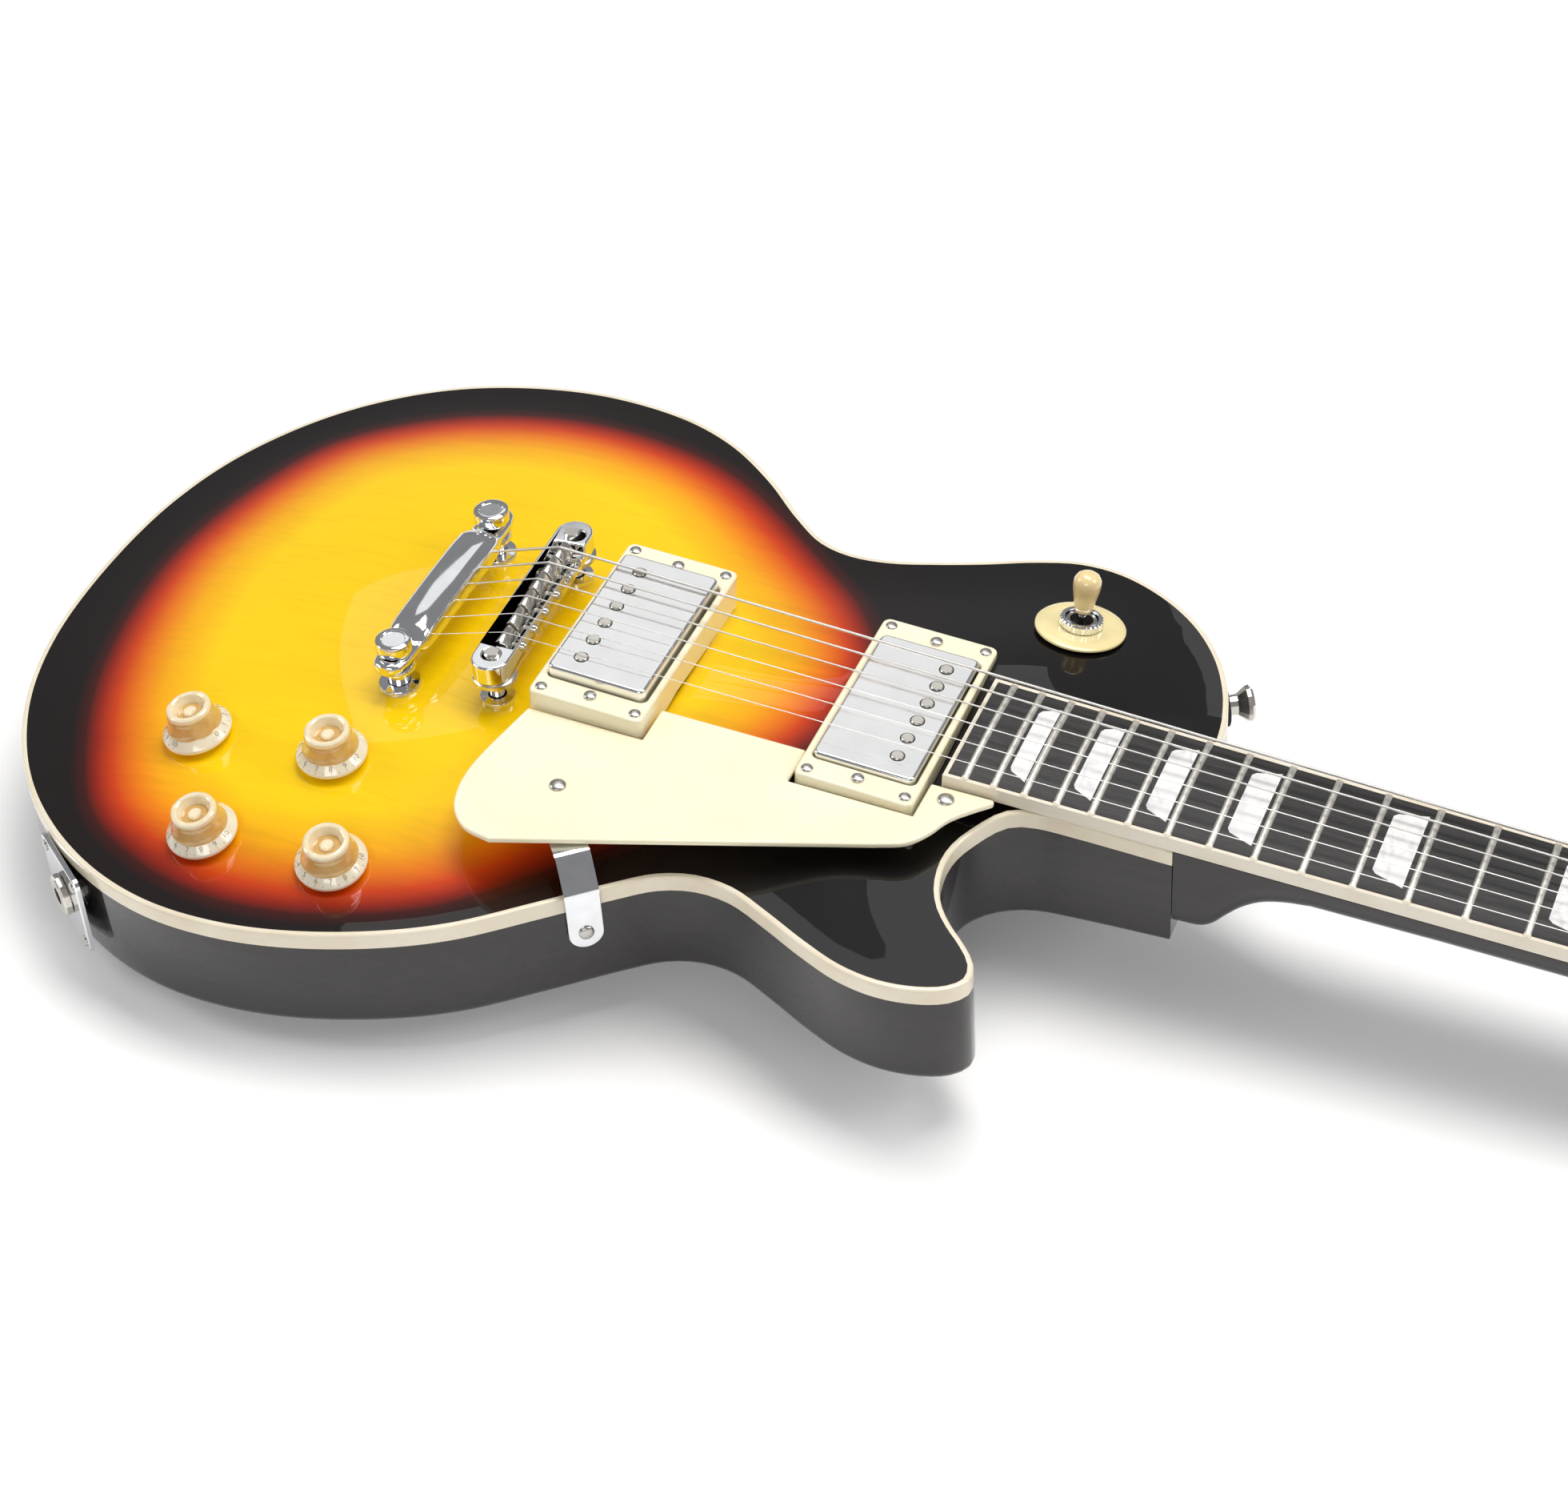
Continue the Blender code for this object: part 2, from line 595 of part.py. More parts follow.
def make_truss_rod():
    along = NECK_FRAME @ Matrix.Translation(Vector((0, 0, -6.6))) @ Matrix.Rotation(math.pi / 2, 4, "Y")
    rod = [(0, 646), (4.0, 646), (4.0, 640.5), (2.6, 640), (2.6, 266), (0, 266)]
    turned("truss_rod", rod, along, "zinc_steel", 10)
    half_side = smooth_path([(2, 10), (9, 10), (18, 8.5), (26, 11), (33, 9), (38, 4)], 4)
    outline = [(u, -v) for u, v in half_side] + [(u, v) for u, v in reversed(half_side)]
    plate("truss_rod_cover", [outline], GAP, 2.2, "black_plastic", HEAD_FRAME, 0.4)


# ---------------------------------------------------------------- tuners
def make_tuners():
    for side, sign in (("bass", 1), ("treble", -1)):
        base = box(f"tuner_housing_{side}", (TUNER_U[0] - 14, 0, -1.2), (TUNER_U[-1] + 20, 15, 0), "polished_chrome",
                   HEAD_FRAME @ Matrix.Translation(Vector((0, sign * 27.5 - 7.5, -HEAD_THICK - GAP))))
        for u, v in zip(TUNER_U, TUNER_V):
            centre = Vector((u, sign * v, -HEAD_THICK - GAP))
            case = box(f"tuner_case_{side}_{int(u)}", (-6.5, -8.5, -10), (12, 8.5, -0.6),
                       frame=HEAD_FRAME @ Matrix.Translation(centre))
            combine(base, case, "UNION")
        for u, v in zip(TUNER_U, TUNER_V):
            centre = Vector((u, sign * v, 0))
            post_frame = HEAD_FRAME @ Matrix.Translation(centre)
            post = cylinder(f"tuner_post_{side}_{int(u)}_cutter", 3.5, -22, 5, post_frame, 8)
            cut(base, post, cylinder(f"tuner_shaft_{side}_{int(u)}_cutter", 2.1, -6, 30, shaft_frame(u, v, sign), 8))
    for k, (u, v) in enumerate(zip(TUNER_U, TUNER_V)):
        for side, sign in (("bass", 1), ("treble", -1)):
            post_frame = HEAD_FRAME @ Matrix.Translation(Vector((u, sign * v, 0)))
            profile = [(0, 17), (2.6, 17), (3.0, 16.4), (3.0, 12), (2.5, 10), (3.0, 8), (3.1, -21), (0, -21)]
            turned(f"tuner_post_{side}_{k + 1}", profile, post_frame, "polished_chrome", 10)
            frame = shaft_frame(u, v, sign)
            shaft = cylinder(f"tuner_button_{side}_{k + 1}", 1.8, -5, 26, frame, 10, "polished_chrome")
            grip = [(-6.5, 0), (-8.5, 8), (-7, 14), (0, 16), (7, 14), (8.5, 8), (6.5, 0)]
            lift = frame @ Matrix.Translation(Vector((0, 0, 22))) @ Matrix.Rotation(math.pi / 2, 4, "X")
            outline = smooth_path(grip, 5)
            combine(shaft, plate(f"tuner_grip_{side}_{k + 1}", [outline], -3, 3, frame=lift, bevel=1.2), "UNION")


def shaft_frame(u, v, sign):
    """A frame on a tuner's key shaft, +Z out past the headstock's edge."""
    turn = Matrix.Rotation(-sign * math.pi / 2, 4, "X")
    return HEAD_FRAME @ Matrix.Translation(Vector((u + TUNER_OFFSET, sign * v, TUNER_SHAFT_W))) @ turn


# ---------------------------------------------------------------- bridge and tailpiece
def make_bridge():
    end = POST_Y + 1.5
    outline = arc(0, end, 7.2, 0, 180, 8) + arc(0, -end, 7.2, 180, 360, 8)
    bar = plate("bridge_body", [outline], BRIDGE_LOW, BRIDGE_TOP, "polished_chrome", BRIDGE_FRAME, 1.0)
    cut(bar, box("saddle_channel_cutter", (-5.8, -31.6, 70.6), (5.8, 31.6, 80), frame=BRIDGE_FRAME))
    carriage = [bar]
    for side, sign in (("bass", 1), ("treble", -1)):
        axis = BRIDGE_FRAME @ Matrix.Translation(Vector((0, sign * POST_Y, 0)))
        cut(bar, cylinder(f"bridge_hole_{side}_cutter", 3.4, 60, 90, axis, 16))
        profile = [(0, 77), (2.6, 77), (3.1, 76.5), (3.1, 67.2), (8.4, 66.9), (8.4, 64.4), (3.1, 64.1), (3.1, 36), (0, 36)]
        turned(f"bridge_post_{side}", profile, axis, "nickel", 12)
    for k in range(6):
        y = (2.5 - k) * STRING_PITCH
        peak = SADDLE_PEAK - y * y / 610
        side_view = [(-3, -7.3 + 0.4), (3, -7.3 + 0.4), (3, -4.4), (0.9, 0), (-0.9, 0), (-3, -4.4)]
        profile = [(x, z + (peak - SADDLE_PEAK) * (z == 0)) for x, z in side_view]
        frame = BRIDGE_FRAME @ Matrix.Translation(Vector((0, y, SADDLE_PEAK))) @ Matrix.Rotation(math.pi / 2, 4, "X")
        carriage.append(plate(f"saddle_{k + 1}", [profile], -4.7, 4.7, "nickel", frame))
    hold(joint_empty("bridge_height", BRIDGE_FRAME), *carriage)


# Tailpiece sections from its middle outward: y, half the width, underside, top
TAIL_SECTIONS = [(0, 8.6, 62.2, 75.2), (18, 8.6, 62.2, 74.8), (28.5, 8.2, 62.4, 74.0), (31.8, 7.4, 63.2, 72.8),
                 (33.7, 6.9, 65.8, 70.9), (46, 6.6, 65.8, 70.8), (49.5, 4.8, 65.9, 70.7), (51, 2.2, 66.2, 70.4)]


def tail_section(y, half, low, high):
    """A rounded bar section across the tailpiece."""
    ring = []
    for k in range(12):
        angle = 2 * math.pi * (k + 0.5) / 12
        c, d = math.cos(angle), math.sin(angle)
        x = half * math.copysign(abs(c) ** 0.7, c)
        z = (low + high) / 2 + (high - low) / 2 * math.copysign(abs(d) ** 0.7, d)
        ring.append((x, y, z))
    return ring


def make_tailpiece():
    middle = Matrix.Translation(Vector((TAIL_X, 0, 0)))
    outward = [tail_section(*section) for section in TAIL_SECTIONS]
    mirrored = [[(x, -y, z) for x, y, z in ring] for ring in outward[:0:-1]]
    bar = mesh_object("tailpiece", loft(mirrored + outward), "polished_chrome", middle)
    for side, sign in (("bass", 1), ("treble", -1)):
        slot = [(12, -3.5), (12, 3.5)] + arc(0, 0, 3.5, 90, 270, 8)
        axis = Matrix.Translation(Vector((TAIL_X, sign * STUD_Y, 0)))
        cut(bar, plate(f"stud_slot_{side}_cutter", [slot], 55, 85, frame=axis))
        profile = [(0, STUD_TOP), (5.8, STUD_TOP), (6.8, 75.8), (6.8, 71.2), (3.1, 71.2), (3.1, 65.4), (6.8, 65.4),
                   (6.8, 62.6), (3.9, 62.2), (3.9, 28), (0, 28)]
        turned(f"tailpiece_stud_{side}", profile, axis, "polished_chrome", 12)
    hold(joint_empty("tailpiece_height", middle), bar)


# ---------------------------------------------------------------- pickups and pickguard
def make_pickups():
    for where, x in PICKUP_X.items():
        tilt = Matrix.Rotation(PICKUP_TILT, 4, "Y")
        cover_frame = Matrix.Translation(Vector((x, 0, COVER_TOP[where]))) @ tilt
        plate(f"pickup_{where}", [rounded_rectangle(*COVER_SIZE, 2.5)], -18, 0, "polished_chrome", cover_frame, 0.8)
        ring_frame = Matrix.Translation(Vector((x, 0, RING_TOP[where]))) @ tilt
        opening = [COVER_SIZE[0] + 0.9, COVER_SIZE[1] + 0.9]
        loops = [divided(rounded_rectangle(*RING_SIZE, 3, 2), 11), divided(rounded_rectangle(*opening, 2.6, 2), 11)]
        bm = plate_bmesh(loops, -3, 0)
        for v in bm.verts:
            if v.co.z < -1:
                for _ in range(4):
                    spot = ring_frame @ v.co
                    v.co.z -= spot.z - top_height(spot.x, spot.y) - RING_LIFT[where]
        mesh_object(f"pickup_ring_{where}", bm, "cream_plastic", ring_frame)


GUARD_OUTLINE = [(18.2, -46.8), (62.9, -46.8), (62.9, -29.6), (118.6, -29.6), (118.6, -46.9), (165.2, -46.9),
                 (165.4, -28.9), (188.6, -28.6)]
GUARD_EDGE = [(189.2, -30.5), (183, -37), (177.5, -44), (173.5, -53), (168, -60.5), (158, -65.5)]
GUARD_FRONT = [(34.6, -114.2), (24.5, -112), (17, -105), (13.4, -95), (12.6, -84), (13.6, -73)]


def make_pickguard():
    outline = GUARD_OUTLINE + smooth_path(GUARD_EDGE, 5) + smooth_path(GUARD_FRONT, 6)
    frame = Matrix.Translation(Vector((0, 0, GUARD_TOP))) @ Matrix.Rotation(GUARD_SLOPE, 4, "Y")
    plate("pickguard", [outline[::-1]], -GUARD_THICK, 0, "cream_plastic", frame, 0.8)
    # The bracket's side view: u outward from the body's side, z up
    upper = [(-23, 57.7), (-7, 57.0), (-4.6, 55.4), (1.2, 45.8), (1.9, 43.6), (1.9, 20)]
    under = [(0, 1.3), (0.6, 1.3), (1.1, 0.8), (1.2, 0.6), (1.3, 0), (1.3, 0)]
    lower = [(u - du, z - dz) for (u, z), (du, dz) in zip(upper, under)]
    out = Vector((0.64, -0.768, 0))
    along = Vector((0, 0, 1)).cross(out)
    turn = Matrix((out, Vector((0, 0, 1)), -along)).transposed().to_4x4()
    frame = Matrix.Translation(Vector((66.6, -111.6, 0))) @ turn
    plate("pickguard_bracket", [upper + lower[::-1]], -6.3, 6.3, "polished_chrome", frame)


# ---------------------------------------------------------------- controls
def make_controls():
    for name, spot in KNOB_PLACES.items():
        frame = top_frame(*spot)
        knob_frame = frame @ Matrix.Translation(Vector((0, 0, KNOB_LIFT)))
        knob = [(0, 10.8), (4.6, 10.8), (5.6, 12.4), (7.6, 12.6), (8.2, 12.1), (10.1, 4.6), (12.4, 2.4), (13, 1.6),
                (13, 0), (3, 0), (3, -9), (0, -9)]
        turned(f"knob_{name}", knob, knob_frame, "gold_lacquer_knob", 14)
        pot = [(0, -12), (3.4, -12), (3.4, -0.8), (4.6, -0.8), (4.6, -20), (11.8, -20), (11.8, -29), (0, -29)]
        turned(f"pot_{name}", pot, frame, "zinc_steel", 12)
    frame = top_frame(*SWITCH_PLACE)
    housing = [(0, -18), (4.5, -18), (4.5, 4.4), (5.9, 4.4), (5.9, -14.8), (11, -14.8), (11, -30), (0, -30)]
    turned("switch_housing", housing, frame, "zinc_steel", 12)
    plate("switch_washer", [circle(0, 0, 17, 20), circle(0, 0, 6.3, 12)], 0.6, 2.0, "cream_plastic", frame, 0.4)
    plate("switch_nut", [circle(0, 0, 8.2, 14), circle(0, 0, 6.3, 12)], 2.3, 5.2, "polished_chrome", frame)
    pivot = frame @ Matrix.Translation(Vector((0, 0, -3)))
    lever = [(0, 27.5), (2.6, 27.2), (4.4, 25.8), (5.2, 23.2), (5.0, 20.4), (3.6, 14), (3.0, 11.2), (1.6, 11),
             (1.6, -12), (0, -12)]
    turned("switch_lever", lever, pivot, "cream_plastic", 10)
    plate("control_cavity_cover", [lining(CONTROL_CAVITY, 5.6)], 0.4, 2.2, "black_plastic")
    plate("switch_cavity_cover", [circle(*SWITCH_PLACE, 25.6)], 0.4, 2.2, "black_plastic")


def make_jack_and_buttons():
    frame = side_frame(*JACK_PLACE, JACK_Z, *JACK_OUT)
    plate("jack_plate", [rounded_rectangle(35, 34, 3), circle(0, 0, 6.2, 16)], 0.6, 2.6, "polished_chrome", frame, 0.5)
    socket = [(0, -24), (3.3, -24), (3.3, 5.6), (7.2, 5.6), (8, 5.0), (8, 2.9), (5.9, 2.9), (5.9, -2), (9.6, -2),
              (9.6, -27), (0, -27)]
    turned("jack_socket", socket, frame, "nickel", 12)
    button = [(0, 12), (6.2, 12), (7, 11), (6.6, 9.6), (4.0, 6.2), (3.8, 3.4), (5.6, 0.6), (0, 0.6)]
    turned("strap_button_tail", button, side_frame(-191.5, 0, STRAP_Z, -1, 0), "nickel", 12)
    turned("strap_button_horn", button, side_frame(238, 78.5, STRAP_Z, 0.87, 0.49), "nickel", 12)


STUD_BORES = make_stud_bores()
make_body()
make_top_cap()
make_body_binding()
make_neck()
make_fretboard()
make_truss_rod()
make_tuners()
make_bridge()
make_tailpiece()
make_pickups()
make_pickguard()
make_controls()
make_jack_and_buttons()
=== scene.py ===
"""Looks of the electric guitar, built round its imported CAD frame.

Sizes are in millimetres in the part's own frame and become metres where a mesh is made.
"""
import json
import math

import bmesh
import bpy
import numpy as np
from mathutils import Matrix, Vector
from mathutils.geometry import delaunay_2d_cdt


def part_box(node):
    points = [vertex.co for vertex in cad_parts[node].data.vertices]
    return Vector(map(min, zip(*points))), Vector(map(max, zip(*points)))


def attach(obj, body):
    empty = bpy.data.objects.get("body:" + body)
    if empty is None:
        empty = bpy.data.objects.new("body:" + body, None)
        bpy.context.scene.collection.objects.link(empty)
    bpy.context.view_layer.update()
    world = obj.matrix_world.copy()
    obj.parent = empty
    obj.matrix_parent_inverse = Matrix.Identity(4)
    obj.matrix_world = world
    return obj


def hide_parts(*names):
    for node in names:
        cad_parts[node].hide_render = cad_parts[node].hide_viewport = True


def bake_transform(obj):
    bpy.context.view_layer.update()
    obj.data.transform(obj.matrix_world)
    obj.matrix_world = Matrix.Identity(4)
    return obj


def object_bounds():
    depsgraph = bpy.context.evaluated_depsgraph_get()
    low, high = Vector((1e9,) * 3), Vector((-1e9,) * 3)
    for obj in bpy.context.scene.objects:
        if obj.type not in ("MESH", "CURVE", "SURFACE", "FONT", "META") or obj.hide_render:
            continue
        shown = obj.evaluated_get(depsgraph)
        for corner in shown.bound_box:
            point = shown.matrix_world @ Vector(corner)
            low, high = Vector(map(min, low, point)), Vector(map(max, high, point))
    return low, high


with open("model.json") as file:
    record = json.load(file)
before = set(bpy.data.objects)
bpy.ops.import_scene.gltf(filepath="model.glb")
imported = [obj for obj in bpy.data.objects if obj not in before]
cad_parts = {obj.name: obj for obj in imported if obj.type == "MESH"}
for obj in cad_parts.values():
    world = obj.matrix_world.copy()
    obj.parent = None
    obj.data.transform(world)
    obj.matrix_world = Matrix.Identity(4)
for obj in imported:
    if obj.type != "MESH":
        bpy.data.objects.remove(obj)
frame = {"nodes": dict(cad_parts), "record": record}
CAD_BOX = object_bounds()
JOINTS = {j["name"]: j for j in frame["record"]["behaviour"]["joints"]}
MM = 0.001
IDENTITY = Matrix.Identity(4)

# Driving dimensions, the same as the solid model's
RIM = 43.0
ARCH_RISE = 12.0
ARCH_FLAT = 10.0
ARCH_SPAN = 100.0
BINDING = 2.0
BINDING_TALL = 6.3
BACK_ROUND = 4.0
NECK_ANGLE = math.radians(4.95)
NECK_DATUM_Z = 65.9
SCALE = 630.0
NUT_HALF = 21.35
TWELFTH_HALF = 25.8
BOARD_END = 169.0
BOARD_EDGE = 5.6
BOARD_CROWN = 1.2
BOARD_BINDING = 1.5
HEAD_ANGLE = math.radians(13.0)
HEAD_START = 636.0
HEAD_THICK = 14.0
TUNER_U = (44.0, 84.0, 124.0)
TUNER_V = (27.0, 29.0, 27.5)
SADDLE_PEAK = 78.2
STRING_PITCH = 10.4
NUT_PITCH = 7.0
STRING_RADII = (0.56, 0.45, 0.34, 0.24, 0.20, 0.17)
PICKUP_TILT = math.radians(5.2)
PICKUP_X = {"bridge": 39.9, "neck": 141.9}
RING_TOP = {"bridge": 68.4, "neck": 57.6}
COVER_TOP = {"bridge": 72.5, "neck": 59.4}
GUARD_TOP = 64.6
GUARD_SLOPE = math.radians(4.03)
GUARD_THICK = 2.3
JACK_PLACE = (-121.0, -148.5, 21.5)
JACK_OUT = (-0.62, -0.785, 0.0)
CONTROL_COVER = [(-4, -70), (-4, -140), (-16, -145), (-84, -147), (-108, -132), (-114, -122), (-114, -76),
                 (-106, -68), (-14, -62)]

# The body's outline, from the bass side of the neck round the tail to the treble side of the neck
OUTLINE = [
    (252, 27), (249.5, 47), (244.5, 64.5), (236, 81.5), (223, 97.5), (206.5, 110), (188, 118),
    (171, 119.6), (154, 115.5), (136, 108.5), (118, 102.5), (101, 98), (86, 97.5), (73, 101.5),
    (58, 113.5), (38, 133), (14, 151), (-12, 162), (-48, 167), (-80, 163.5), (-110, 153.5),
    (-134, 138.5), (-157, 115.5), (-177, 82), (-188, 45), (-191.5, 0), (-188, -45), (-177, -82),
    (-157, -115.5), (-134, -138.5), (-106, -156), (-79, -165), (-52, -167), (-25, -163.5),
    (6, -153.5), (30, -141), (54, -122), (75.5, -104), (88, -95), (100.5, -91.5), (114, -93),
    (130, -100.5), (147, -109.5), (163, -116.5), (178, -119.3), (192, -118), (202, -114),
    (207, -108), (206, -100), (200, -92), (192.5, -84.5), (186.5, -77), (182.5, -69),
    (180.3, -60), (180, -51), (182, -43), (187, -36), (194, -31), (203, -28), (216, -27.2),
    (252, -26.8)]

# Where the sprayed black edge of the sunburst gives way to red
BURST_LINE = [(122, 20), (103, 60), (75, 88), (25, 127), (-8, 139), (-45, 143), (-78, 138), (-111, 124),
              (-140, 100), (-156, 63), (-165, 20), (-164, -14), (-155, -59), (-140, -95), (-118, -128),
              (-90, -145), (-60, -153), (-32, -152), (-5, -144.5), (20, -132), (45, -108), (80, -70),
              (112, -30)]


# ---------------------------------------------------------------- geometry
def smooth_path(points, step, closed=False):
    """Points along a centripetal spline through the given ones, about step apart."""
    control = [np.array(p, dtype=float) for p in points]
    if closed:
        padded = [control[-1]] + control + [control[0], control[1]]
    else:
        padded = [2 * control[0] - control[1]] + control + [2 * control[-1] - control[-2]]
    path = []
    for p0, p1, p2, p3 in zip(padded, padded[1:], padded[2:], padded[3:]):
        t1 = np.linalg.norm(p1 - p0) ** 0.5
        t2 = t1 + np.linalg.norm(p2 - p1) ** 0.5
        t3 = t2 + np.linalg.norm(p3 - p2) ** 0.5
        count = max(1, round(np.linalg.norm(p2 - p1) / step))
        for k in range(count):
            t = t1 + (t2 - t1) * k / count
            a1 = p0 + (p1 - p0) * t / t1
            a2 = p1 + (p2 - p1) * (t - t1) / (t2 - t1)
            a3 = p2 + (p3 - p2) * (t - t2) / (t3 - t2)
            b1 = a1 + (a2 - a1) * t / t2
            b2 = a2 + (a3 - a2) * (t - t1) / (t3 - t1)
            path.append(tuple(b1 + (b2 - b1) * (t - t1) / (t2 - t1)))
    if not closed:
        path.append(tuple(control[-1]))
    return path


def inset(path, distance):
    """The closed path moved inward by a distance; it runs anticlockwise."""
    pts = np.array(path, dtype=float)
    first = pts - np.roll(pts, 1, axis=0)
    second = np.roll(pts, -1, axis=0) - pts
    first /= np.linalg.norm(first, axis=1)[:, None]
    second /= np.linalg.norm(second, axis=1)[:, None]
    left_first = np.column_stack([-first[:, 1], first[:, 0]])
    bisector = left_first + np.column_stack([-second[:, 1], second[:, 0]])
    bisector /= np.linalg.norm(bisector, axis=1)[:, None]
    stretch = np.maximum(np.sum(bisector * left_first, axis=1), 0.5)
    return [tuple(p) for p in pts + bisector * (distance / stretch)[:, None]]


def arc(cx, cy, radius, start_deg, end_deg, count):
    """Points on an arc, both ends included."""
    angles = [math.radians(start_deg + (end_deg - start_deg) * k / count) for k in range(count + 1)]
    return [(cx + radius * math.cos(a), cy + radius * math.sin(a)) for a in angles]


def circle(cx, cy, radius, count=48):
    return arc(cx, cy, radius, 0, 360 - 360 / count, count - 1)


def rounded_rectangle(width, height, radius, per_corner=6):
    half_w, half_h = width / 2 - radius, height / 2 - radius
    corners = [(half_w, half_h, 0), (-half_w, half_h, 90), (-half_w, -half_h, 180), (half_w, -half_h, 270)]
    return [p for cx, cy, a in corners for p in arc(cx, cy, radius, a, a + 90, per_corner)]


def divided(path, step):
    """The closed path with extra points on its long straight runs."""
    result = []
    for start, end in zip(path, path[1:] + path[:1]):
        count = max(1, round(math.dist(start, end) / step))
        for k in range(count):
            result.append((start[0] + (end[0] - start[0]) * k / count,
                           start[1] + (end[1] - start[1]) * k / count))
    return result


def distances(points, path):
    """Distance of each point to a closed path, and whether it lies inside."""
    start = np.array(path, dtype=float)
    step = np.roll(start, -1, axis=0) - start
    pts = np.array(points, dtype=float)
    nearest = np.full(len(pts), 1e9)
    inside = np.zeros(len(pts), dtype=bool)
    for (sx, sy), (dx, dy) in zip(start, step):
        ox, oy = pts[:, 0] - sx, pts[:, 1] - sy
        share = np.clip((ox * dx + oy * dy) / (dx * dx + dy * dy), 0, 1)
        nearest = np.minimum(nearest, np.hypot(ox - share * dx, oy - share * dy))
        crosses = (sy > pts[:, 1]) != (sy + dy > pts[:, 1])
        slope = dx / dy if dy else 0.0
        inside ^= crosses & (pts[:, 0] < sx + slope * (pts[:, 1] - sy))
    return nearest, inside


def ramp(value, low, high):
    """A smooth step from 0 at low to 1 at high."""
    t = np.clip((value - low) / (high - low), 0.0, 1.0)
    return t * t * (3 - 2 * t)


BODY_PATH = smooth_path(OUTLINE, 4)
BURST_PATH = smooth_path(BURST_LINE, 6, closed=True)


def board_floor(x):
    """Height of the fretboard's underside over the body's back."""
    return NECK_DATUM_Z - x * math.tan(NECK_ANGLE)


def rim_height(x, y):
    """Height of the top's edge, which climbs beside the neck to meet the fretboard."""
    beside = ramp(-np.abs(y), -50, -31) * ramp(x, 178, 198)
    return RIM + np.maximum(0.0, board_floor(x) - 0.3 - RIM) * beside


class CarvedTop:
    """The carved top's height over a fine grid, with its creases polished out."""
    STEP = 4.0

    def __init__(self):
        self.xs = np.arange(-200, 264, self.STEP)
        self.ys = np.arange(-176, 180, self.STEP)
        gx, gy = np.meshgrid(self.xs, self.ys, indexing="ij")
        near, inside = distances(np.column_stack([gx.ravel(), gy.ravel()]), BODY_PATH)
        depth = np.where(inside, near, 0).reshape(gx.shape)
        share = np.clip((depth - ARCH_FLAT) / ARCH_SPAN, 0, 1)
        soft = (np.sqrt(share * share + 0.01) - 0.1) / (math.sqrt(1.01) - 0.1)
        height = RIM + ARCH_RISE * np.sin(math.pi / 2 * soft)
        free = ramp(depth, 4, 14)
        for _ in range(14):
            wide = np.pad(height, 1, mode="edge")
            mean = (wide[:-2, 1:-1] + wide[2:, 1:-1] + wide[1:-1, :-2] + wide[1:-1, 2:]) / 4
            height += (mean - height) * free * 0.8
        self.height = np.maximum(height, rim_height(gx, gy))

    def __call__(self, x, y):
        fx = (x - self.xs[0]) / self.STEP
        fy = (y - self.ys[0]) / self.STEP
        i, j = int(fx), int(fy)
        u, v = fx - i, fy - j
        h = self.height
        return ((h[i, j] * (1 - u) + h[i + 1, j] * u) * (1 - v)
                + (h[i, j + 1] * (1 - u) + h[i + 1, j + 1] * u) * v)


top_height = CarvedTop()


def mm_vector(metres):
    return Vector(metres) / MM


def axis_frame(origin, axis, up=(1, 0, 0)):
    """A frame whose +Z is the axis and whose +X leans towards up."""
    z = Vector(axis).normalized()
    x = (Vector(up) - z * Vector(up).dot(z)).normalized()
    turn = Matrix((x, z.cross(x), z)).transposed().to_4x4()
    return Matrix.Translation(Vector(origin)) @ turn


def joint_frame(name, up=(1, 0, 0)):
    joint = JOINTS[name]
    return axis_frame(mm_vector(joint["pos_m"]), joint["axis"], up)


def moved(frame_in, x=0.0, y=0.0, z=0.0):
    return frame_in @ Matrix.Translation(Vector((x, y, z)))


NECK_FRAME = Matrix.Translation(Vector((0, 0, NECK_DATUM_Z))) @ Matrix.Rotation(NECK_ANGLE, 4, "Y")
HEAD_FRAME = moved(NECK_FRAME, HEAD_START, 0, -0.3) @ Matrix.Rotation(HEAD_ANGLE, 4, "Y")


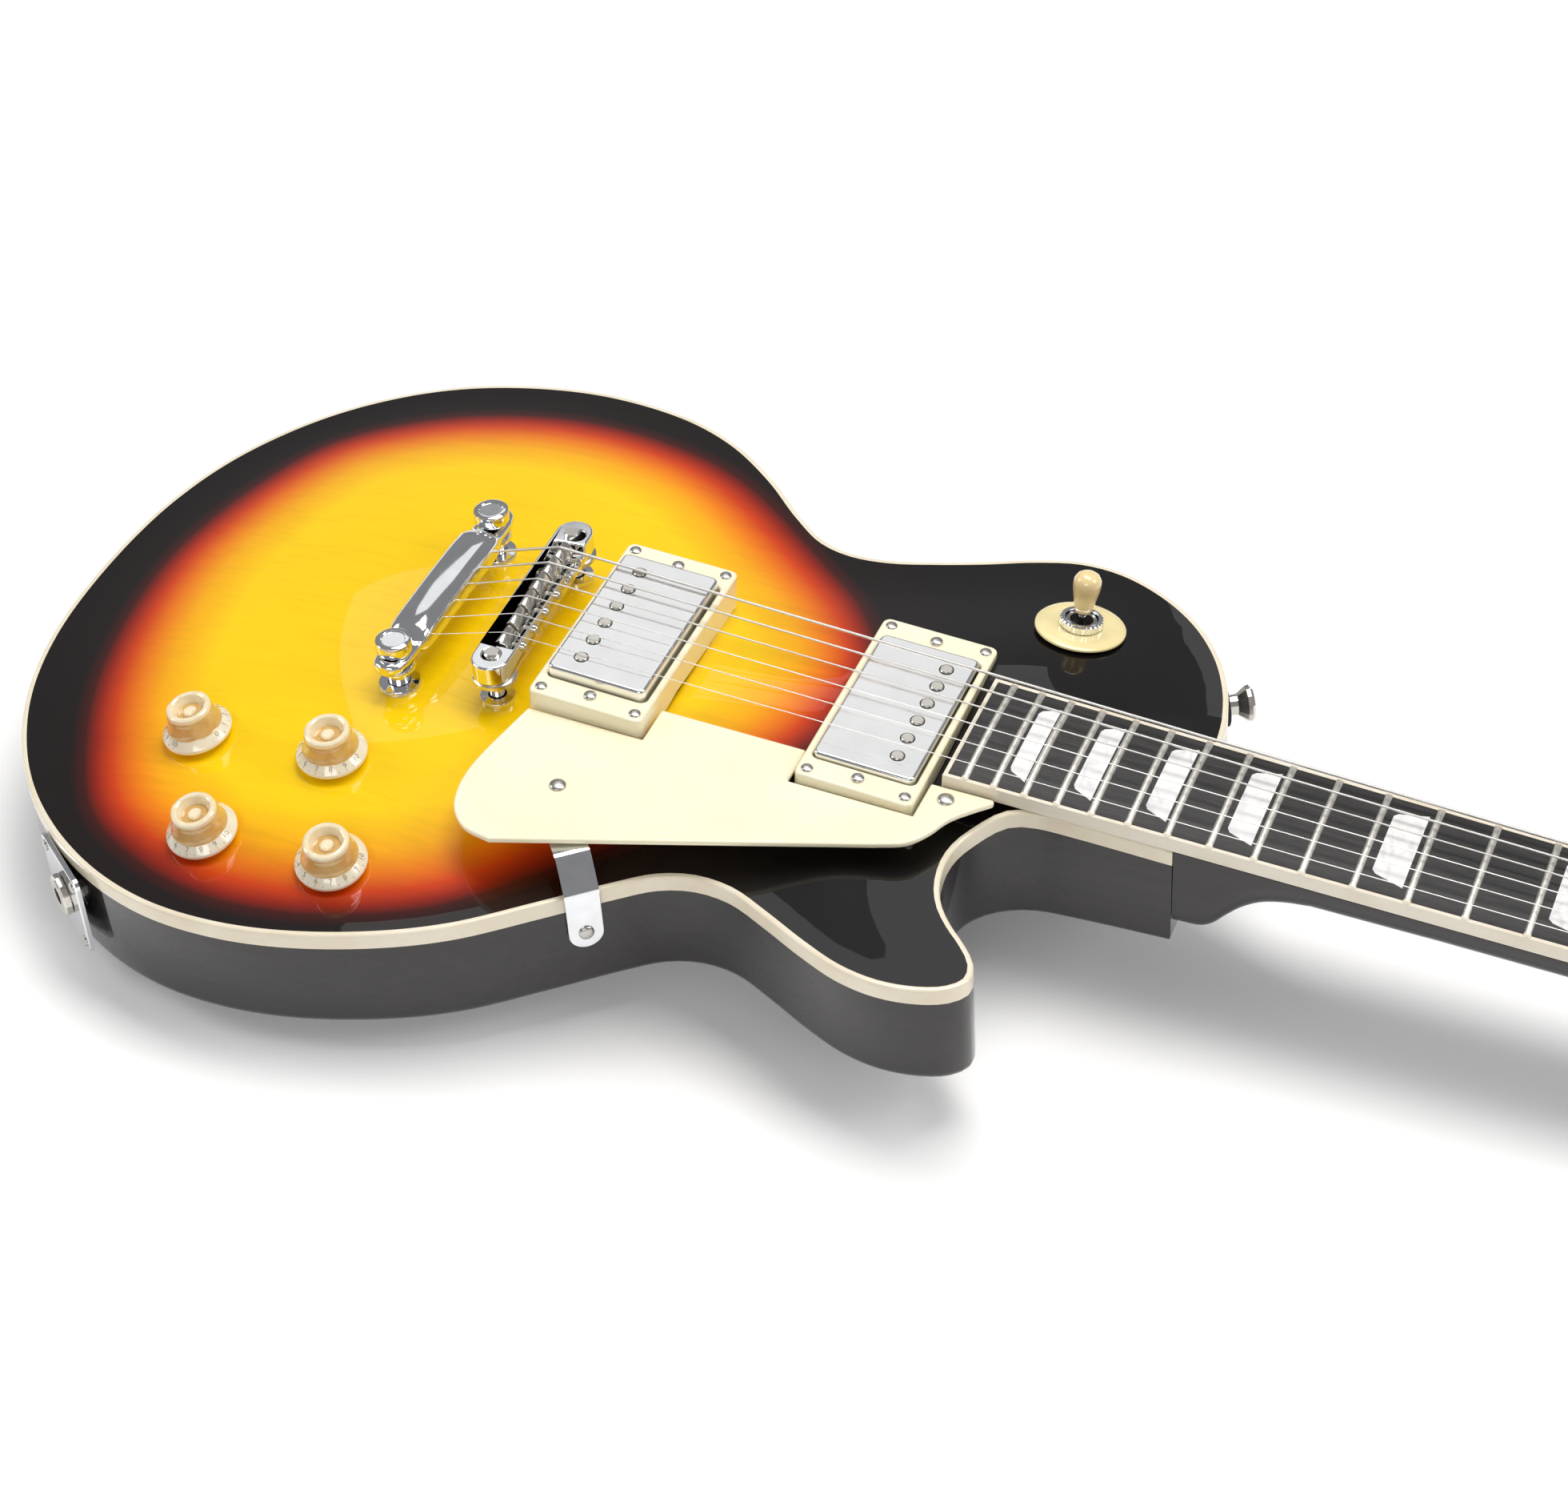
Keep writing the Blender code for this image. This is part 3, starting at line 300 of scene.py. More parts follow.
# ---------------------------------------------------------------- materials
class Paint:
    """A node material in the making: one Principled shader and helpers that feed it."""

    def __init__(self, name, colour, roughness, metallic=0.0, coat=0.0, coat_roughness=0.03, ior=1.5,
                 specular=0.5):
        self.mat = bpy.data.materials.new(name)
        self.mat.use_nodes = True
        self.tree = self.mat.node_tree
        self.shader = self.tree.nodes["Principled BSDF"]
        self.set("Base Color", (*colour, 1.0))
        self.set("Roughness", roughness)
        self.set("Metallic", metallic)
        self.set("Coat Weight", coat)
        self.set("Coat Roughness", coat_roughness)
        self.set("IOR", ior)
        self.set("Specular IOR Level", specular)
        self.coords = self.node("ShaderNodeTexCoord").outputs["Object"]

    def set(self, socket, value):
        self.shader.inputs[socket].default_value = value

    def node(self, kind, **values):
        made = self.tree.nodes.new(kind)
        for key, value in values.items():
            setattr(made, key, value)
        return made

    def link(self, source, target):
        self.tree.links.new(source, target)

    def feed(self, source, socket):
        self.link(source, self.shader.inputs[socket])

    def noise(self, size_mm, detail=3.0, stretch=(1, 1, 1), distortion=0.0):
        """Noise whose features are about size_mm wide, stretched along the axes."""
        mapping = self.node("ShaderNodeMapping")
        mapping.inputs["Scale"].default_value = [1 / (MM * size_mm * s) for s in stretch]
        self.link(self.coords, mapping.inputs["Vector"])
        noise = self.node("ShaderNodeTexNoise")
        noise.inputs["Scale"].default_value = 1.0
        noise.inputs["Detail"].default_value = detail
        noise.inputs["Distortion"].default_value = distortion
        self.link(mapping.outputs["Vector"], noise.inputs["Vector"])
        return noise.outputs["Fac"]

    def ramp(self, source, *stops):
        """A colour ramp from (position, colour) stops."""
        node = self.node("ShaderNodeValToRGB")
        elements = node.color_ramp.elements
        while len(elements) < len(stops):
            elements.new(0.5)
        for element, (position, colour) in zip(elements, stops):
            element.position = position
            element.color = (*colour, 1.0)
        self.link(source, node.inputs["Fac"])
        return node.outputs["Color"]

    def mix(self, amount, first, second, blend="MIX"):
        """Mixes two colours, each a socket or a colour, by an amount that is a number or a socket."""
        node = self.node("ShaderNodeMix", data_type="RGBA", blend_type=blend)
        for value, socket in ((amount, node.inputs[0]), (first, node.inputs[6]), (second, node.inputs[7])):
            if isinstance(value, bpy.types.NodeSocket):
                self.link(value, socket)
            else:
                socket.default_value = value if isinstance(value, float) else (*value, 1.0)
        return node.outputs[2]

    def span(self, source, low, high):
        """A 0 to 1 value mapped to low to high."""
        node = self.node("ShaderNodeMapRange")
        node.inputs["To Min"].default_value = low
        node.inputs["To Max"].default_value = high
        self.link(source, node.inputs["Value"])
        return node.outputs["Result"]

    def bump(self, source, height_mm, strength=1.0):
        node = self.node("ShaderNodeBump")
        node.inputs["Distance"].default_value = height_mm * MM
        node.inputs["Strength"].default_value = strength
        self.link(source, node.inputs["Height"])
        self.feed(node.outputs["Normal"], "Normal")


def grey(value):
    return (value, value, value)


def sunburst_paint():
    """Clear-coated maple: amber centre, orange and red fade, black edge."""
    paint = Paint("sunburst_lacquer", (0.9, 0.5, 0.0), 0.4, coat=0.9, coat_roughness=0.015, specular=0.08)
    burst = paint.node("ShaderNodeAttribute", attribute_name="burst").outputs["Fac"]
    fade = paint.ramp(burst, (0.0, (0.004, 0.003, 0.003)), (0.36, (0.007, 0.003, 0.003)),
                      (0.42, (0.05, 0.004, 0.002)), (0.47, (0.28, 0.012, 0.002)), (0.54, (0.62, 0.05, 0.002)),
                      (0.63, (0.84, 0.20, 0.002)), (0.74, (0.94, 0.42, 0.001)), (0.93, (1.0, 0.64, 0.001)))
    grain = paint.noise(3.0, 5.0, stretch=(14, 1, 1), distortion=0.6)
    tone = paint.ramp(grain, (0.25, grey(0.92)), (0.55, grey(1.0)), (0.8, grey(0.95)))
    cloud = paint.ramp(paint.noise(70, 2.0), (0.3, grey(0.93)), (0.7, grey(1.0)))
    paint.feed(paint.mix(1.0, paint.mix(1.0, fade, tone, "MULTIPLY"), cloud, "MULTIPLY"), "Base Color")
    paint.feed(paint.span(grain, 0.28, 0.40), "Roughness")
    paint.bump(paint.noise(5.0, 2.0), 0.012, 0.35)
    return paint.mat


def dark_lacquer_paint(name="dark_lacquer", colour=(0.012, 0.010, 0.010)):
    """Near-black gloss with a trace of brown grain and a little orange peel."""
    paint = Paint(name, colour, 0.4, coat=0.9, coat_roughness=0.03, specular=0.12)
    grain = paint.noise(4.0, 5.0, stretch=(10, 1, 1), distortion=0.4)
    warm = tuple(c * 1.9 + 0.004 for c in colour)
    paint.feed(paint.mix(grain, colour, warm), "Base Color")
    paint.feed(paint.span(paint.noise(9.0), 0.22, 0.36), "Roughness")
    paint.bump(paint.noise(4.0, 2.0), 0.01, 0.3)
    return paint.mat


def plastic_paint(name, colour, aged, roughness=0.25, coat=0.5, cloud_mm=14):
    """Moulded plastic with faint clouding into an aged tint and fine handling marks."""
    paint = Paint(name, colour, roughness, coat=coat, coat_roughness=0.08)
    cloud = paint.ramp(paint.noise(cloud_mm, 4.0), (0.3, colour), (0.75, aged))
    marks = paint.noise(1.6, 6.0, stretch=(5, 1, 1))
    paint.feed(paint.mix(0.12, cloud, paint.ramp(marks, (0.35, grey(0.72)), (0.7, grey(1.0))),
                         "MULTIPLY"), "Base Color")
    paint.feed(paint.span(marks, roughness * 0.8, roughness * 1.35), "Roughness")
    paint.bump(paint.noise(0.9, 3.0), 0.008, 0.25)
    return paint.mat


def chrome_paint(name="chrome", colour=(0.86, 0.87, 0.89), low=0.03, high=0.11, smudge_mm=7):
    """Bright plating with smudges in its gloss and faint polishing waves."""
    paint = Paint(name, colour, low, metallic=1.0)
    smudge = paint.noise(smudge_mm, 5.0)
    paint.feed(paint.ramp(smudge, (0.35, tuple(c * 0.93 for c in colour)), (0.65, colour)), "Base Color")
    paint.feed(paint.span(smudge, low, high), "Roughness")
    paint.bump(paint.noise(smudge_mm * 0.7, 2.0), 0.01, 0.2)
    return paint.mat


def board_paint():
    """Dark open-pored fingerboard wood with long grain."""
    paint = Paint("fingerboard_wood", (0.045, 0.038, 0.035), 0.5, coat=0.15, coat_roughness=0.25)
    grain = paint.noise(1.3, 7.0, stretch=(26, 1, 4), distortion=0.8)
    pores = paint.noise(0.5, 3.0, stretch=(14, 1, 3))
    base = paint.ramp(grain, (0.25, (0.008, 0.007, 0.007)), (0.5, (0.019, 0.017, 0.017)),
                      (0.8, (0.046, 0.041, 0.040)))
    paint.feed(paint.mix(1.0, base, paint.ramp(pores, (0.36, grey(0.35)), (0.48, grey(1.0))), "MULTIPLY"),
               "Base Color")
    paint.feed(paint.span(grain, 0.42, 0.62), "Roughness")
    paint.bump(pores, 0.05, 0.5)
    return paint.mat


def pearl_paint():
    """Cloudy pearl with soft bands that swirl."""
    paint = Paint("pearl", (0.8, 0.8, 0.8), 0.2, coat=0.8, coat_roughness=0.05)
    swirl = paint.noise(7.0, 2.0, stretch=(1, 2.2, 1), distortion=1.6)
    paint.feed(paint.ramp(swirl, (0.25, (0.66, 0.66, 0.67)), (0.45, (0.84, 0.83, 0.83)),
                          (0.6, (0.90, 0.89, 0.87)),
                          (0.8, (0.76, 0.77, 0.78))), "Base Color")
    paint.feed(paint.span(swirl, 0.12, 0.3), "Roughness")
    return paint.mat


def wound_string_paint():
    """Nickel-wound string: fine turns along its length, their grooves darkened with painted shade."""
    paint = Paint("wound_string", (0.9, 0.88, 0.84), 0.38, metallic=1.0)
    wave = paint.node("ShaderNodeTexWave", wave_type="BANDS", bands_direction="X")
    wave.inputs["Scale"].default_value = 900.0
    wave.inputs["Distortion"].default_value = 0.4
    paint.link(paint.coords, wave.inputs["Vector"])
    # The ramp's dark end is painted shade in the grooves between the turns; the bright end is the nickel.
    paint.feed(paint.ramp(wave.outputs["Fac"], (0.2, (0.55, 0.53, 0.49)), (0.6, (0.95, 0.93, 0.90))),
               "Base Color")
    paint.bump(wave.outputs["Fac"], 0.05, 0.6)
    return paint.mat


def felt_paint():
    paint = Paint("black_felt", (0.02, 0.02, 0.02), 0.95)
    fibre = paint.noise(0.35, 6.0)
    paint.feed(paint.ramp(fibre, (0.3, grey(0.006)), (0.7, grey(0.05))), "Base Color")
    paint.bump(fibre, 0.25, 0.8)
    return paint.mat


def floor_paint():
    paint = Paint("white_floor", grey(0.93), 0.6)
    paint.feed(paint.ramp(paint.noise(240, 3.0), (0.3, grey(0.91)), (0.7, grey(0.94))), "Base Color")
    paint.set("Emission Color", (1, 1, 1, 1))
    paint.set("Emission Strength", 0.12)
    return paint.mat


LACQUER = dark_lacquer_paint()
SUNBURST = sunburst_paint()
IVORY = plastic_paint("ivory_binding", (0.90, 0.82, 0.66), (0.82, 0.72, 0.53), 0.22, 0.6, 22)
BOARD_IVORY = plastic_paint("board_binding", (0.88, 0.82, 0.70), (0.80, 0.70, 0.54), 0.2, 0.7, 20)
CREAM = plastic_paint("cream_plastic", (0.98, 0.92, 0.70), (0.94, 0.86, 0.58), 0.22, 0.6, 40)
WASHER_CREAM = plastic_paint("washer_cream", (0.94, 0.82, 0.44), (0.88, 0.73, 0.36), 0.2, 0.7, 12)
SWITCH_CREAM = plastic_paint("switch_cream", (0.94, 0.74, 0.38), (0.90, 0.66, 0.30), 0.18, 0.8, 6)
BLACK_PLASTIC = plastic_paint("black_plastic", (0.014, 0.014, 0.014), (0.03, 0.03, 0.028), 0.35, 0.2, 18)
GOLD = plastic_paint("knob_gold", (0.66, 0.38, 0.10), (0.80, 0.54, 0.22), 0.12, 1.0, 4)
CLEAR_CAP = plastic_paint("knob_clear", (0.90, 0.74, 0.46), (0.96, 0.86, 0.64), 0.1, 1.0, 3)
SKIRT = plastic_paint("knob_skirt", (0.96, 0.90, 0.74), (0.90, 0.80, 0.58), 0.14, 1.0, 5)
NUMBER_INK = plastic_paint("number_ink", (0.40, 0.32, 0.20), (0.30, 0.23, 0.14), 0.4, 0.3, 2)
CHROME = chrome_paint()
COVER_CHROME = chrome_paint("cover_chrome", (0.90, 0.90, 0.90), 0.10, 0.2, 16)
NICKEL = chrome_paint("nickel", (0.74, 0.71, 0.65), 0.14, 0.30, 3)
FRET_NICKEL = chrome_paint("fret_nickel", (0.92, 0.89, 0.82), 0.30, 0.5, 1.8)
STEEL = chrome_paint("screw_steel", (0.58, 0.56, 0.53), 0.2, 0.36, 1.5)
PLAIN_STRING = chrome_paint("plain_string", (0.94, 0.93, 0.90), 0.25, 0.4, 2)
WOUND_STRING = wound_string_paint()
BOARD = board_paint()
PEARL = pearl_paint()
BONE = plastic_paint("bone", (0.85, 0.82, 0.72), (0.78, 0.72, 0.58), 0.3, 0.3, 4)
FELT = felt_paint()
# Near-black paint for the discs round the pole screws: painted shade in the gap between each screw and the
# cover.
POLE_GAP_SHADE = plastic_paint("painted_pole_gap_shade", (0.01, 0.01, 0.01), (0.02, 0.02, 0.02), 0.6, 0.0, 3)
FLOOR = floor_paint()


# ---------------------------------------------------------------- object makers
def finish_piece(name, bm, mat, body, place=IDENTITY, replaces=(), sharp_deg=38, bevel=0.0):
    """Turns a bmesh in millimetres into a named piece that rides on a body."""
    bmesh.ops.remove_doubles(bm, verts=bm.verts, dist=0.0005)
    bmesh.ops.recalc_face_normals(bm, faces=bm.faces)
    bmesh.ops.scale(bm, vec=Vector((MM, MM, MM)), verts=bm.verts)
    mesh = bpy.data.meshes.new(name)
    bm.to_mesh(mesh)
    bm.free()
    mesh.materials.append(mat)
    mesh.shade_smooth()
    mesh.set_sharp_from_angle(angle=math.radians(sharp_deg))
    obj = bpy.data.objects.new(name, mesh)
    bpy.context.scene.collection.objects.link(obj)
    world = place.copy()
    world.translation = place.translation * MM
    obj.matrix_world = world
    if bevel:
        edge = obj.modifiers.new("edge", "BEVEL")
        edge.width = bevel * MM
        edge.segments = 3
        edge.limit_method = "ANGLE"
        edge.angle_limit = math.radians(40)
        edge.use_clamp_overlap = True
        edge.harden_normals = True
    bpy.context.view_layer.update()
    if body:
        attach(obj, body)
    if replaces:
        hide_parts(*replaces)
    return obj


def plate_bm(loops, low, high):
    """A flat plate with an outline and holes, in millimetres."""
    curve = bpy.data.curves.new("outline", "CURVE")
    curve.dimensions = "2D"
    curve.fill_mode = "BOTH"
    curve.extrude = (high - low) / 2
    for loop in loops:
        spline = curve.splines.new("POLY")
        spline.points.add(len(loop) - 1)
        for point, (x, y) in zip(spline.points, loop):
            point.co = (x, y, 0, 1)
        spline.use_cyclic_u = True
    holder = bpy.data.objects.new("outline", curve)
    holder.location.z = (low + high) / 2
    bpy.context.scene.collection.objects.link(holder)
    bpy.context.view_layer.update()
    mesh = bpy.data.meshes.new_from_object(holder.evaluated_get(bpy.context.evaluated_depsgraph_get()))
    mesh.transform(holder.matrix_world)
    bm = bmesh.new()
    bm.from_mesh(mesh)
    bpy.data.objects.remove(holder, do_unlink=True)
    bpy.data.meshes.remove(mesh)
    bmesh.ops.remove_doubles(bm, verts=bm.verts, dist=0.001)
    bmesh.ops.dissolve_limit(bm, angle_limit=0.01, verts=bm.verts, edges=bm.edges)
    return bm


def turned_bm(profile, steps=48):
    """A lathe shape from a profile that runs from the axis to the axis."""
    bm = bmesh.new()
    rings = []
    for r, z in profile:
        if r < 1e-6:
            rings.append([bm.verts.new((0, 0, z))])
        else:
            angles = [2 * math.pi * k / steps for k in range(steps)]
            rings.append([bm.verts.new((r * math.cos(a), r * math.sin(a), z)) for a in angles])
    for first, second in zip(rings, rings[1:]):
        for k in range(steps):
            n = (k + 1) % steps
            corners = [first[k % len(first)], first[n % len(first)], second[n % len(second)],
                       second[k % len(second)]]
            unique = list(dict.fromkeys(corners))
            if len(unique) > 2:
                bm.faces.new(unique)
    return bm


def loft_bm(sections, capped=True):
    """A skin through rings of points that all have the same count."""
    bm = bmesh.new()
    rings = [[bm.verts.new(p) for p in section] for section in sections]
    for ring, following in zip(rings, rings[1:]):
        count = len(ring)
        for k in range(count):
            bm.faces.new((ring[k], ring[(k + 1) % count], following[(k + 1) % count], following[k]))
    if capped:
        bm.faces.new(rings[0])
        bm.faces.new(rings[-1])
    return bm


def box_bm(low, high):
    bm = bmesh.new()
    bmesh.ops.create_cube(bm, size=1.0)
    bmesh.ops.scale(bm, vec=Vector(high) - Vector(low), verts=bm.verts)
    bmesh.ops.translate(bm, vec=(Vector(high) + Vector(low)) / 2, verts=bm.verts)
    return bm


def tube_bm(points, radius, sides=10):
    """A round tube along a path, with flat ends."""
    path = [Vector(p) for p in points]
    rings = []
    side = None
    for k, point in enumerate(path):
        ahead = (path[min(k + 1, len(path) - 1)] - path[max(k - 1, 0)]).normalized()
        if side is None:
            side = ahead.orthogonal().normalized()
        side = (side - ahead * side.dot(ahead)).normalized()
        other = ahead.cross(side)
        rings.append([point + (side * math.cos(a) + other * math.sin(a)) * radius
                      for a in (2 * math.pi * j / sides for j in range(sides))])
    return loft_bm(rings)


def join_bm(target, *others):
    """Adds other bmeshes to a target, each with its own matrix."""
    for bm, matrix in others:
        bmesh.ops.transform(bm, matrix=matrix, verts=bm.verts)
        mesh = bpy.data.meshes.new("joined")
        bm.to_mesh(mesh)
        bm.free()
        target.from_mesh(mesh)
        bpy.data.meshes.remove(mesh)
    return target


def cut_piece(obj, bm, place=IDENTITY):
    """Cuts a shape, given in millimetres, out of a finished piece and applies the cut."""
    bmesh.ops.transform(bm, matrix=place, verts=bm.verts)
    bmesh.ops.recalc_face_normals(bm, faces=bm.faces)
    bmesh.ops.scale(bm, vec=Vector((MM, MM, MM)), verts=bm.verts)
    mesh = bpy.data.meshes.new("cutter")
    bm.to_mesh(mesh)
    bm.free()
    cutter = bpy.data.objects.new("cutter", mesh)
    bpy.context.scene.collection.objects.link(cutter)
    step = obj.modifiers.new("cut", "BOOLEAN")
    step.operation = "DIFFERENCE"
    step.solver = "EXACT"
    step.object = cutter
    bpy.context.view_layer.update()
    result = bpy.data.meshes.new_from_object(obj.evaluated_get(bpy.context.evaluated_depsgraph_get()))
    obj.modifiers.clear()
    materials = list(obj.data.materials)
    obj.data = result
    result.materials.clear()
    for mat in materials:
        result.materials.append(mat)
    for face in result.polygons:
        face.material_index = 0
    result.shade_smooth()
    result.set_sharp_from_angle(angle=math.radians(38))
    bpy.data.objects.remove(cutter, do_unlink=True)


def repaint(node, mat, bevel=0.0):
    """Gives a CAD node a finished material, and softens its edges with a bevel modifier."""
    obj = frame["nodes"][node]
    if not obj.material_slots:
        obj.data.materials.append(mat)
    for place in obj.material_slots:
        place.link = "OBJECT"
        place.material = mat
    if bevel:
        edge = obj.modifiers.new("edge", "BEVEL")
        edge.width = bevel * MM
        edge.segments = 2
        edge.limit_method = "ANGLE"
        edge.angle_limit = math.radians(40)


# ---------------------------------------------------------------- small hardware
def cross_screw(name, place, radius, body, mat=None, proud=0.5):
    """A domed screw head with a cross recess; +Z of its place is out of the head."""
    rise = radius * 0.32
    dome = [(0, proud + rise)]
    dome += [(radius * math.sin(a), proud + rise * math.cos(a)) for a in (0.3, 0.6, 0.9, 1.2, 1.5)]
    dome += [(radius, proud * 0.3), (radius * 0.95, -0.6), (0, -0.6)]
    head = finish_piece(name, turned_bm(dome, 28), mat or STEEL, body, place)
    arm, wide, deep = radius * 0.68, radius * 0.2, proud + rise
    for size in ((arm, wide), (wide, arm)):
        cut_piece(head, box_bm((-size[0], -size[1], deep - radius * 0.55), (size[0], size[1], deep + 1)))
    return head


def slot_screw(name, place, radius, body, mat=None, high=1.2, turn_deg=20.0):
    """A round head with one straight slot."""
    profile = [(0, high), (radius * 0.86, high), (radius, high - radius * 0.16), (radius, -0.5), (0, -0.5)]
    spun = place @ Matrix.Rotation(math.radians(turn_deg), 4, "Z")
    head = finish_piece(name, turned_bm(profile, 28), mat or NICKEL, body, spun)
    cut_piece(head, box_bm((-radius - 1, -radius * 0.17, high * 0.4), (radius + 1, radius * 0.17, high + 1)))
    return head


# ---------------------------------------------------------------- body
def cdt_surface(loops, spacing, height):
    """A triangulated sheet inside the first loop and outside the others, with z from height(x, y)."""
    points, edges = [], []
    for loop in loops:
        start = len(points)
        points += [Vector(p) for p in loop]
        edges += [(start + k, start + (k + 1) % len(loop)) for k in range(len(loop))]
    outer = np.array(loops[0])
    low, high = outer.min(axis=0), outer.max(axis=0)
    grid = [(x, y) for i, x in enumerate(np.arange(low[0], high[0], spacing * 0.866))
            for y in np.arange(low[1] + (i % 2) * spacing / 2, high[1], spacing)]
    keep = np.ones(len(grid), dtype=bool)
    for k, loop in enumerate(loops):
        near, inside = distances(grid, loop)
        keep &= (near > spacing * 0.45) & (inside if k == 0 else ~inside)
    points += [Vector(p) for p, kept in zip(grid, keep) if kept]
    verts, _, faces, _, _, _ = delaunay_2d_cdt(points, edges, [], 1, 1e-5)
    bm = bmesh.new()
    made = [bm.verts.new((v.x, v.y, height(v.x, v.y))) for v in verts]
    centres = [sum((verts[i] for i in face), Vector((0, 0))) / len(face) for face in faces]
    dropped = np.zeros(len(faces), dtype=bool)
    for loop in loops[1:]:
        dropped |= distances([tuple(c) for c in centres], loop)[1]
    for face, drop in zip(faces, dropped):
        if not drop:
            bm.faces.new([made[i] for i in face])
    bmesh.ops.delete(bm, geom=[v for v in bm.verts if not v.link_faces], context="VERTS")
    return bm


def skirt(bm, level):
    """Drops a wall from a sheet's open edges to a level."""
    border = [e for e in bm.edges if e.is_boundary]
    wall = bmesh.ops.extrude_edge_only(bm, edges=border)["geom"]
    for v in wall:
        if isinstance(v, bmesh.types.BMVert):
            v.co.z = level


def neck_half(s):
    return NUT_HALF + (SCALE - s) / (SCALE / 2) * (TWELFTH_HALF - NUT_HALF)


def make_top():
    loops = [inset(BODY_PATH, BINDING - 0.05)]
    for x in PICKUP_X.values():
        loops.append([(x - 21.4, -36), (x + 19.6, -36), (x + 19.6, 36), (x - 21.4, 36)])
    for name in ("bridge_post_bass_turn", "bridge_post_treble_turn", "tailpiece_stud_bass_turn",
                 "tailpiece_stud_treble_turn"):
        spot = mm_vector(JOINTS[name]["pos_m"])
        loops.append(circle(spot.x, spot.y, 4.4, 24))

    def height(x, y):
        """The top's height, kept just under the fingerboard where that covers it."""
        z = top_height(x, y)
        if x > BOARD_END - 1 and abs(y) < neck_half(BOARD_END) + 0.6:
            z = min(z, board_floor(x) - 0.45)
        return z

    bm = cdt_surface(loops, 4.5, height)
    skirt(bm, 38.0)
    obj = finish_piece("carved_top", bm, SUNBURST, "guitar", replaces=["top_cap"])
    spots = [(v.co.x / MM, v.co.y / MM) for v in obj.data.vertices]
    near, inside = distances(spots, BURST_PATH)
    signed = np.where(inside, near, -near)
    burst = obj.data.attributes.new("burst", "FLOAT", "POINT")
    burst.data.foreach_set("value", np.clip((signed + 40) / 90, 0, 1).astype(np.float32))


def make_sides():
    rings = []
    for k in range(7):
        a = math.pi / 2 * k / 6
        level = BACK_ROUND * (1 - math.cos(a))
        rings.append([(x, y, level) for x, y in inset(BODY_PATH, BACK_ROUND * (1 - math.sin(a)))])
    seam = [(x, y, float(rim_height(x, y)) - BINDING_TALL) for x, y in BODY_PATH]
    rings.append(seam)
    rings.append([(x, y, z) for (x, y), (_, _, z) in zip(inset(BODY_PATH, 6), seam)])
    bm = loft_bm(rings, capped=False)
    grown = divided(inset(CONTROL_COVER[::-1], -6), 8)
    spot = switch_frame().translation
    back = cdt_surface([inset(BODY_PATH, BACK_ROUND), grown, circle(spot.x, spot.y, 26, 60)], 12,
                       lambda x, y: 0.0)
    inner = [e for e in back.edges if e.is_boundary and
             all(distances([(v.co.x, v.co.y)], BODY_PATH)[0][0] > BACK_ROUND + 2 for v in e.verts)]
    for v in bmesh.ops.extrude_edge_only(back, edges=inner)["geom"]:
        if isinstance(v, bmesh.types.BMVert):
            v.co.z = 3.0
    join_bm(bm, (back, IDENTITY))
    finish_piece("body_back_and_sides", bm, LACQUER, "guitar", replaces=["body"])


def make_binding():
    def ring(distance, drop, use_top):
        return [(x, y, float(rim_height(px, py)) - (drop if use_top else BINDING_TALL))
                for (x, y), (px, py) in zip(inset(BODY_PATH, distance), BODY_PATH)]

    rings = [ring(-0.04, 0, False), ring(-0.04, 0.9, True), ring(0.12, 0.35, True), ring(0.45, 0.06, True),
             ring(0.9, -0.03, True), ring(BINDING, -0.03, True), ring(BINDING, 0, False)]
    bm = loft_bm(rings + [rings[0]], capped=False)
    finish_piece("edge_binding", bm, IVORY, "guitar", replaces=["body_binding"],
                 sharp_deg=60)


def switch_frame():
    """The selector's frame: its hinge lies along +X and +Z stands out of the top."""
    joint = JOINTS["switch_lever_throw"]
    hinge = Vector(joint["axis"])
    washer = frame["nodes"]["switch_washer"]
    pts = np.array([v.co for v in washer.data.vertices])
    flat = np.linalg.svd(pts - pts.mean(axis=0))[2][2]
    normal = Vector(flat if flat[2] > 0 else -flat)
    return axis_frame(mm_vector(joint["pos_m"]), normal, hinge)


# ---------------------------------------------------------------- neck
NECK_SHAPE = [(252.3, 35.9, 9), (262, 34.8, 9), (266, 32.6, 8), (271, 27.6, 6), (276, 23.4, 4.5),
              (282, 20.4, 3.4),
              (290, 18.4, 2.8), (300, 17.6, 2.4), (345, 17.0, 2.3), (440, 16.3, 2.3), (560, 15.6, 2.3),
              (627, 15.2, 2.4)]


def neck_section(x, top, depth, power):
    half = neck_half(x / math.cos(NECK_ANGLE))
    ring = []
    for k in range(37):
        angle = math.pi * k / 36
        across, down = math.cos(angle), math.sin(angle)
        y = half * math.copysign(abs(across) ** (2 / power), across)
        z = top - depth * max(down, 0.0) ** (2 / power)
        ring.append(((x - z * math.sin(NECK_ANGLE)) / math.cos(NECK_ANGLE), y, z))
    return ring


HEAD_HALF = [(0, 21.4), (8, 21.8), (17, 25), (25, 31.5), (33, 38), (42, 41.5), (60, 41.2), (100, 40.6),
             (140, 40), (158, 38.6), (166, 34), (171, 22), (173, 8)]


def make_neck():
    stations = smooth_path(NECK_SHAPE[:8], 1.6) + smooth_path(NECK_SHAPE[8:], 12)
    sections = [neck_section(x, -0.3, depth, power) for x, depth, power in stations]
    sections.append(neck_section(633, -0.3, 15.0, 2.6))
    sections.append(neck_section(640, -2.2, 13.4, 2.8))
    sections.append(neck_section(648, -4.4, 11.6, 3.2))
    finish_piece("neck_shaft", loft_bm(sections), LACQUER, "guitar", NECK_FRAME,
                 sharp_deg=50)
    side = smooth_path(HEAD_HALF, 3)
    outline = [(u, -v) for u, v in side] + [(u, v) for u, v in reversed(side)]
    finish_piece("headstock", plate_bm([outline], -HEAD_THICK, 0), LACQUER, "guitar", HEAD_FRAME,
                 ["neck"], bevel=1.2)


